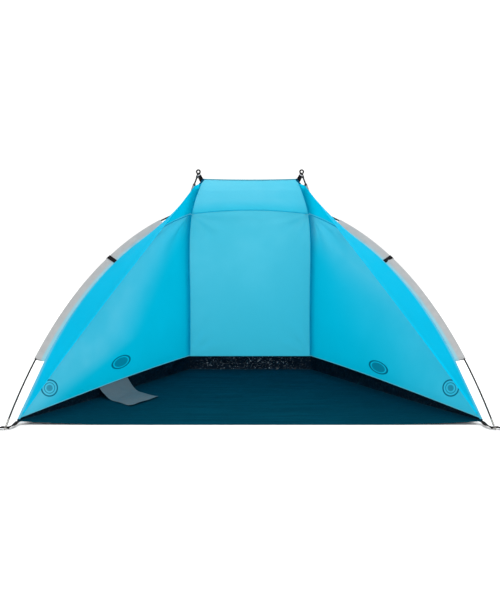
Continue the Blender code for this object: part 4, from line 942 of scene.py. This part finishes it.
def sleeve(name, run, drop, start, end, seed, flip):
    """Each layer stands a little loose between the tube and the seam, and puckers along it."""
    section = sleeve_loop(drop)
    distance = np.linspace(start, end, int((end - start) / SLEEVE_STEP))[:, None]
    flat = np.clip((section[:, 0] - 0.002) / (drop - 0.002), 0.0, 1.0)
    loose = np.sin(math.pi * flat) * np.sign(section[:, 1])
    puckers = waves(distance * [[1.0, 0.0, 0.0]], SLEEVE_PUCKER_LENGTH, seed)[:, None] * SLEEVE_PUCKER
    spread = section[:, 1] + loose * (SLEEVE_LOOSE + np.abs(puckers)) + np.abs(loose) * puckers
    grid = run.place(distance, section[:, 0][None, :], spread)
    return sew(f"{name}_cloth", grid * flip, grey, ("start", "end"), (name,), "sleeve_cloth")


section = sleeve_loop(SEAM_DROP)
level = np.stack([np.zeros(len(section)), np.sign(section[:, 1])], axis=1)
over = section + BAND_LIFT * np.where(section[:, :1] < BAND_TURN, unit(section), level)
distance = np.linspace(BAND_AT - BAND_WIDTH / 2, BAND_AT + BAND_WIDTH / 2, 9)[:, None]
band_grid = HOOP.place(distance, over[:, 0][None], over[:, 1][None])
for (side, flip), seed in zip(SIDES, (91, 92)):
    cloth = sleeve(f"{side}_front_sleeve", HOOP, SEAM_DROP, SLEEVE_MOUTH, SLEEVE_END, seed, flip)
    name = f"{side}_sleeve_band"
    band = sew(f"{name}_webbing", band_grid * flip, webbing, replaces=(name,), slot="webbing")
    band.modifiers.new("thickness", "SOLIDIFY").thickness = BAND_THICKNESS

# Rear sleeves. The same grey polyester, narrower, sewn outside the rear seams and the
# roof's side seams; it is seen through the wall as a darker line.
REAR_SLEEVE_START = 0.13
REAR_SLEEVE_END = REAR.length - REAR_BEYOND - 0.062
for (side, flip), seed in zip(SIDES, (93, 94)):
    cloth = sleeve(f"{side}_rear_sleeve", REAR, REAR_DROP, REAR_SLEEVE_START, REAR_SLEEVE_END, seed, flip)

# Corner straps. Black webbing is sewn under each floor corner and runs out to an eyelet
# for the pole's pin. The front ones turn on edge there, square to the leaning pole.
WEBBING_WIDTH, WEBBING_THICKNESS = 0.022, 0.0020
EYELET_HOLE = 0.0096
ON_EDGE, FRONT_ACROSS, REAR_ACROSS = (0.0, -0.7071, 0.7071), (-0.1056, -0.9944, 0.0), (-0.5999, -0.8, 0.0)
FRONT_STRAP = (
    ((-1.09172, -0.58161, 0.01414), (0.9103, -0.4138, -0.0103)),
    ((-1.10000, -0.59982, 0.01480), (0.9102, -0.4137, -0.0191)),
    ((-1.10400, -0.64482, 0.01139), (0.9104, -0.4138, 0.0)),
    ((-1.11903, -0.68029, 0.00853), ON_EDGE),
    ((-1.14672, -0.67735, 0.01147), ON_EDGE),
    ((-1.17042, -0.67483, 0.00220), FRONT_ACROSS),
    ((-1.17639, -0.67420, 0.00220), FRONT_ACROSS),
)
REAR_STRAP = (
    ((-0.38448, 0.60454, 0.00130), REAR_ACROSS),
    ((-0.39466, 0.61223, 0.00300), REAR_ACROSS),
    ((-0.41707, 0.62903, 0.00300), REAR_ACROSS),
    ((-0.43627, 0.64343, 0.00220), REAR_ACROSS),
    ((-0.44107, 0.64703, 0.00220), REAR_ACROSS),
)
FRONT_PIN = ((-1.13288, -0.67882, 0.01000), (0.1486, 0.6993, 0.6993))
REAR_PIN = ((-0.40586, 0.62063, 0.00300), (0.0, 0.0, 1.0))


def strip(name, line, side, width, thickness):
    """A strip of webbing, in the place of the solid with this name."""
    made = f"{name}_webbing"
    return ribbon(made, line, side, width, thickness, webbing, replaces=(name,), slot="webbing")


def punch(piece, centre, axis, diameter, sides=20, reach=0.01):
    """Cuts a round hole through a strap for its eyelet."""
    side = unit(np.cross(axis, [1.0, 0.0, 0.0]))
    other = np.cross(axis, side)
    turns = 2 * math.pi * np.arange(sides) / sides
    ring = diameter / 2 * (np.cos(turns)[:, None] * side + np.sin(turns)[:, None] * other)
    corners = np.concatenate([centre + ring - reach * axis, centre + ring + reach * axis])
    faces = [(k, (k + 1) % sides, sides + (k + 1) % sides, sides + k) for k in range(sides)]
    faces += [tuple(range(sides - 1, -1, -1)), tuple(range(sides, 2 * sides))]
    drill_mesh = bpy.data.meshes.new("drill")
    drill_mesh.from_pydata(corners.tolist(), [], faces)
    drill = bpy.data.objects.new("drill", drill_mesh)
    scene.collection.objects.link(drill)
    cut = piece.modifiers.new("hole", "BOOLEAN")
    cut.object, cut.operation, cut.solver = drill, "DIFFERENCE", "EXACT"
    bpy.context.view_layer.update()
    found = piece.evaluated_get(bpy.context.evaluated_depsgraph_get())
    cleared = bpy.data.meshes.new_from_object(found)
    piece.modifiers.clear()
    piece.data = cleared
    bpy.data.objects.remove(drill)


def webbing_line(stations, count=44):
    """The strap's centre line and width directions, eased round its turns."""
    points = np.array([place for place, _ in stations])
    sides = np.array([side for _, side in stations])
    along = lengths_along(points)
    at = np.linspace(0.0, along[-1], count + 1)
    eased = []
    for field in (points, sides):
        field = np.stack([np.interp(at, along, field[:, k]) for k in range(3)], axis=1)
        for _ in range(4):
            field[1:-1] = (field[:-2] + 2 * field[1:-1] + field[2:]) / 4
        eased.append(field)
    return eased


BRASS, LACQUER = (0.42, 0.40, 0.36), (0.035, 0.034, 0.035)
lacquer = Finish("lacquered_brass", 0.32, Metallic=1.0)
chipped = lacquer.noise(420.0, detail=4.0).fade(0.68, 0.60)
lacquer.shade(
    Base_Color=lacquer.mix(chipped, BRASS, LACQUER),
    Roughness=0.28 + 0.15 * lacquer.noise(200.0),
)
for side, flip in SIDES:
    for corner, stations, pin in (("front", FRONT_STRAP, FRONT_PIN), ("rear", REAR_STRAP, REAR_PIN)):
        line, across = (field * flip for field in webbing_line(stations))
        strap = strip(f"{side}_{corner}_strap", line, across, WEBBING_WIDTH, WEBBING_THICKNESS)
        centre, axis = np.array(pin) * flip
        punch(strap, centre, unit(axis), EYELET_HOLE)
        finish_nodes(lacquer, f"{side}_{corner}_eyelet")

# Peg loops. The same webbing, turned back on itself at the end of each strap; the hole at
# its end takes a ground peg. Each loop lifts about its stitched end.
UP = np.array([0.0, 0.0, 1.0])
LOOP_LENGTH, LOOP_HOLE, LOOP_BORDER, LOOP_BEVEL = 0.062, 0.030, 0.0050, 0.0005
LOOPS = (
    ("front", (-1.17669, -0.67416, 0.0032), (-0.99441, 0.10563, 0.0)),
    ("rear", (-0.44131, 0.64721, 0.0032), (-0.80004, 0.59994, 0.0)),
)


def loop_outline(border, start, count=17):
    """Once round the loop this far in from its edge, as lengths along it and across."""
    reach = WEBBING_WIDTH / 2 - border
    straight = LOOP_LENGTH - WEBBING_WIDTH / 2
    turns = np.linspace(-math.pi / 2, math.pi / 2, count)
    arc = np.stack([straight + reach * np.cos(turns), reach * np.sin(turns)], axis=1)
    run = np.linspace(start, straight, 12)[:-1]
    out = np.stack([run, np.full(len(run), -reach)], axis=1)
    back = np.stack([run[::-1], np.full(len(run), reach)], axis=1)
    base = np.stack([np.full(5, start), np.linspace(reach, -reach, 7)[1:-1]], axis=1)
    return np.concatenate([out, arc, back, base, out[:1]])


rounding = [(0.0, 0.5), (LOOP_BEVEL * 0.3, 0.15), (LOOP_BEVEL, 0.0)]
rounding += [(LOOP_BORDER - border, depth) for border, depth in rounding[::-1]]
rounding += [(border, 1 - depth) for border, depth in rounding[-2::-1]]
for corner, hinge, ahead in LOOPS:
    for side, flip in SIDES:
        start, way = np.array(hinge) * flip, unit(np.array(ahead) * flip)
        wide = np.array([-way[1], way[0], 0.0])
        rings = []
        for border, depth in rounding:
            first = border / LOOP_BORDER * (LOOP_LENGTH - LOOP_BORDER - LOOP_HOLE)
            outline = loop_outline(border, first)
            points = start + outline[:, :1] * way + outline[:, 1:] * wide
            rings.append(points - UP * depth * WEBBING_THICKNESS)
        name, body = f"{side}_{corner}_peg_loop", f"{side}_{corner}_loop"
        grid = np.stack(rings, axis=1)
        sew(f"{name}_webbing", grid, webbing, replaces=(name,), slot="webbing", body=body)

# Corner tabs and crossing tapes. Short webbing tabs tie the shell's top corners to the
# eyes of the caps, each closed by a tack in pale thread that is partly a painted highlight,
# and narrow tapes tie the roof seam to the clips on the long pole.
TAB = ((-0.25553, 0.01675, 1.15319), (-0.27191, -0.01963, 1.18978))
TAB_SIDES = ((0.6126, -0.4594, 0.6432), (0.9127, 0.0, 0.4086))
TAB_WIDTHS, TAB_THICKNESS = (0.0240, 0.0192), 0.0020
TACK_AT, TACK_WIDTH, TACK_THICKNESS, TACK_PROUD = 0.84, 0.006, 0.0032, 0.0004
TAPE = ((-0.32290, 0.31722, 1.00603), (-0.32290, 0.28507, 0.97549))
TAPE_SIDE, TAPE_WIDTH, TAPE_THICKNESS = (0.9135, 0.2877, 0.2877), 0.015, 0.0015
# The tack's pale thread is partly a painted highlight, standing for a glint between the cap's eye and the
# tab.
TACK_THREAD_AND_GLINT_LOW, TACK_THREAD_AND_GLINT_HIGH = (0.40, 0.40, 0.42), (0.62, 0.62, 0.64)
thread = felled_finish("bar_tack_and_glint", TACK_THREAD_AND_GLINT_LOW, TACK_THREAD_AND_GLINT_HIGH)
share = np.linspace(0.0, 1.0, 15)[:, None]
for side, flip in SIDES:
    (low, high), (wide_low, wide_high) = np.array(TAB) * flip, np.array(TAB_SIDES) * flip
    line, across = low + share * (high - low), wide_low + share * (wide_high - wide_low)
    widths = TAB_WIDTHS[0] + share[:, 0] * (TAB_WIDTHS[1] - TAB_WIDTHS[0])
    strip(f"{side}_corner_tab", line, across, widths, TAB_THICKNESS)
    across = unit(wide_low + TACK_AT * (wide_high - wide_low))
    length = TAB_WIDTHS[0] + TACK_AT * (TAB_WIDTHS[1] - TAB_WIDTHS[0]) + 2 * TACK_PROUD
    line = low + TACK_AT * (high - low) + np.linspace(-0.5, 0.5, 9)[:, None] * length * across
    ribbon(f"{side}_tab_tack", line, high - low, TACK_WIDTH, TACK_THICKNESS, thread, slot="webbing")
    low, high = np.array(TAPE) * flip
    line, across = low + share * (high - low), np.array(TAPE_SIDE) * flip
    strip(f"{side}_crossing_tape", line, across, TAPE_WIDTH, TAPE_THICKNESS)

# Loose flap. A strip of the grey polyester is sewn into the foot of the left wall, hangs
# down over the skirt and lies out on the floor. Its colours are painted shade: darker and
# bluer than the sleeves' grey, as it lies in the shade inside the shelter.
FLAP_FROM, FLAP_TO, FLAP_LENGTH = 0.407, 0.573, 0.27
FLAP_SWING, FLAP_DROP, FLAP_ROOT = math.radians(-12), 0.42, 0.0026
FLAP_ROWS, FLAP_COLUMNS = 60, 40
FLAP_OFF, FLAP_LIFT, FLAP_END_CURL, FLAP_SIDE_CURL = 0.0018, 0.0035, 0.006, 0.002
FLAP_SHADED_LOW, FLAP_SHADED_HIGH, FLAP_SHADED_GLOW = (0.10, 0.13, 0.15), (0.13, 0.165, 0.185), (0.12, 0.14, 0.16)
foot_share = (side_foot[:, 1] - FRONT_EDGE) / FLOOR_DEPTH
ends = np.stack([np.interp((FLAP_FROM, FLAP_TO), foot_share, side_foot[:, k]) for k in range(3)], axis=1)
flap_run = unit(ends[1] - ends[0])
flap_in = unit(np.cross(flap_run, UP))
lay = math.cos(FLAP_SWING) * flap_in + math.sin(FLAP_SWING) * unit(flap_run * [1.0, 1.0, 0.0])
out = np.linspace(0.0, 1.0, FLAP_ROWS + 1)[:, None, None]
beside = np.linspace(0.0, 1.0, FLAP_COLUMNS + 1)[None, :, None]
root = ends[0] + flap_in * FLAP_ROOT + (ends[1] - ends[0]) * beside
grid = root + lay * FLAP_LENGTH * out
rest = floor_underside(grid[..., 0], grid[..., 1]) + FLOOR_THICKNESS + FLAP_OFF
hang = np.maximum(1 - out[..., 0] / FLAP_DROP, 0.0) ** 2
grid[..., 2] = rest + (root[..., 2] - rest) * hang
lifts = 0.5 + 0.5 * waves(grid, length=0.12, seed=101)
curl = np.clip((out[..., 0] - 0.86) / 0.14, 0, 1) ** 2 * FLAP_END_CURL
curl = curl + np.clip((0.08 - beside[..., 0]) / 0.08, 0, 1) ** 2 * FLAP_SIDE_CURL
grid[..., 2] += (FLAP_LIFT * lifts + curl) * np.clip(out[..., 0] * 5, 0, 1)
flap_shaded_cloth = plain_polyester("flap_shaded_polyester", FLAP_SHADED_LOW, FLAP_SHADED_HIGH, FLAP_SHADED_GLOW, 0.15)
flap = sew("floor_flap_cloth", grid, flap_shaded_cloth, ("foot",), ("floor_flap",), "sleeve_cloth", body="flap")
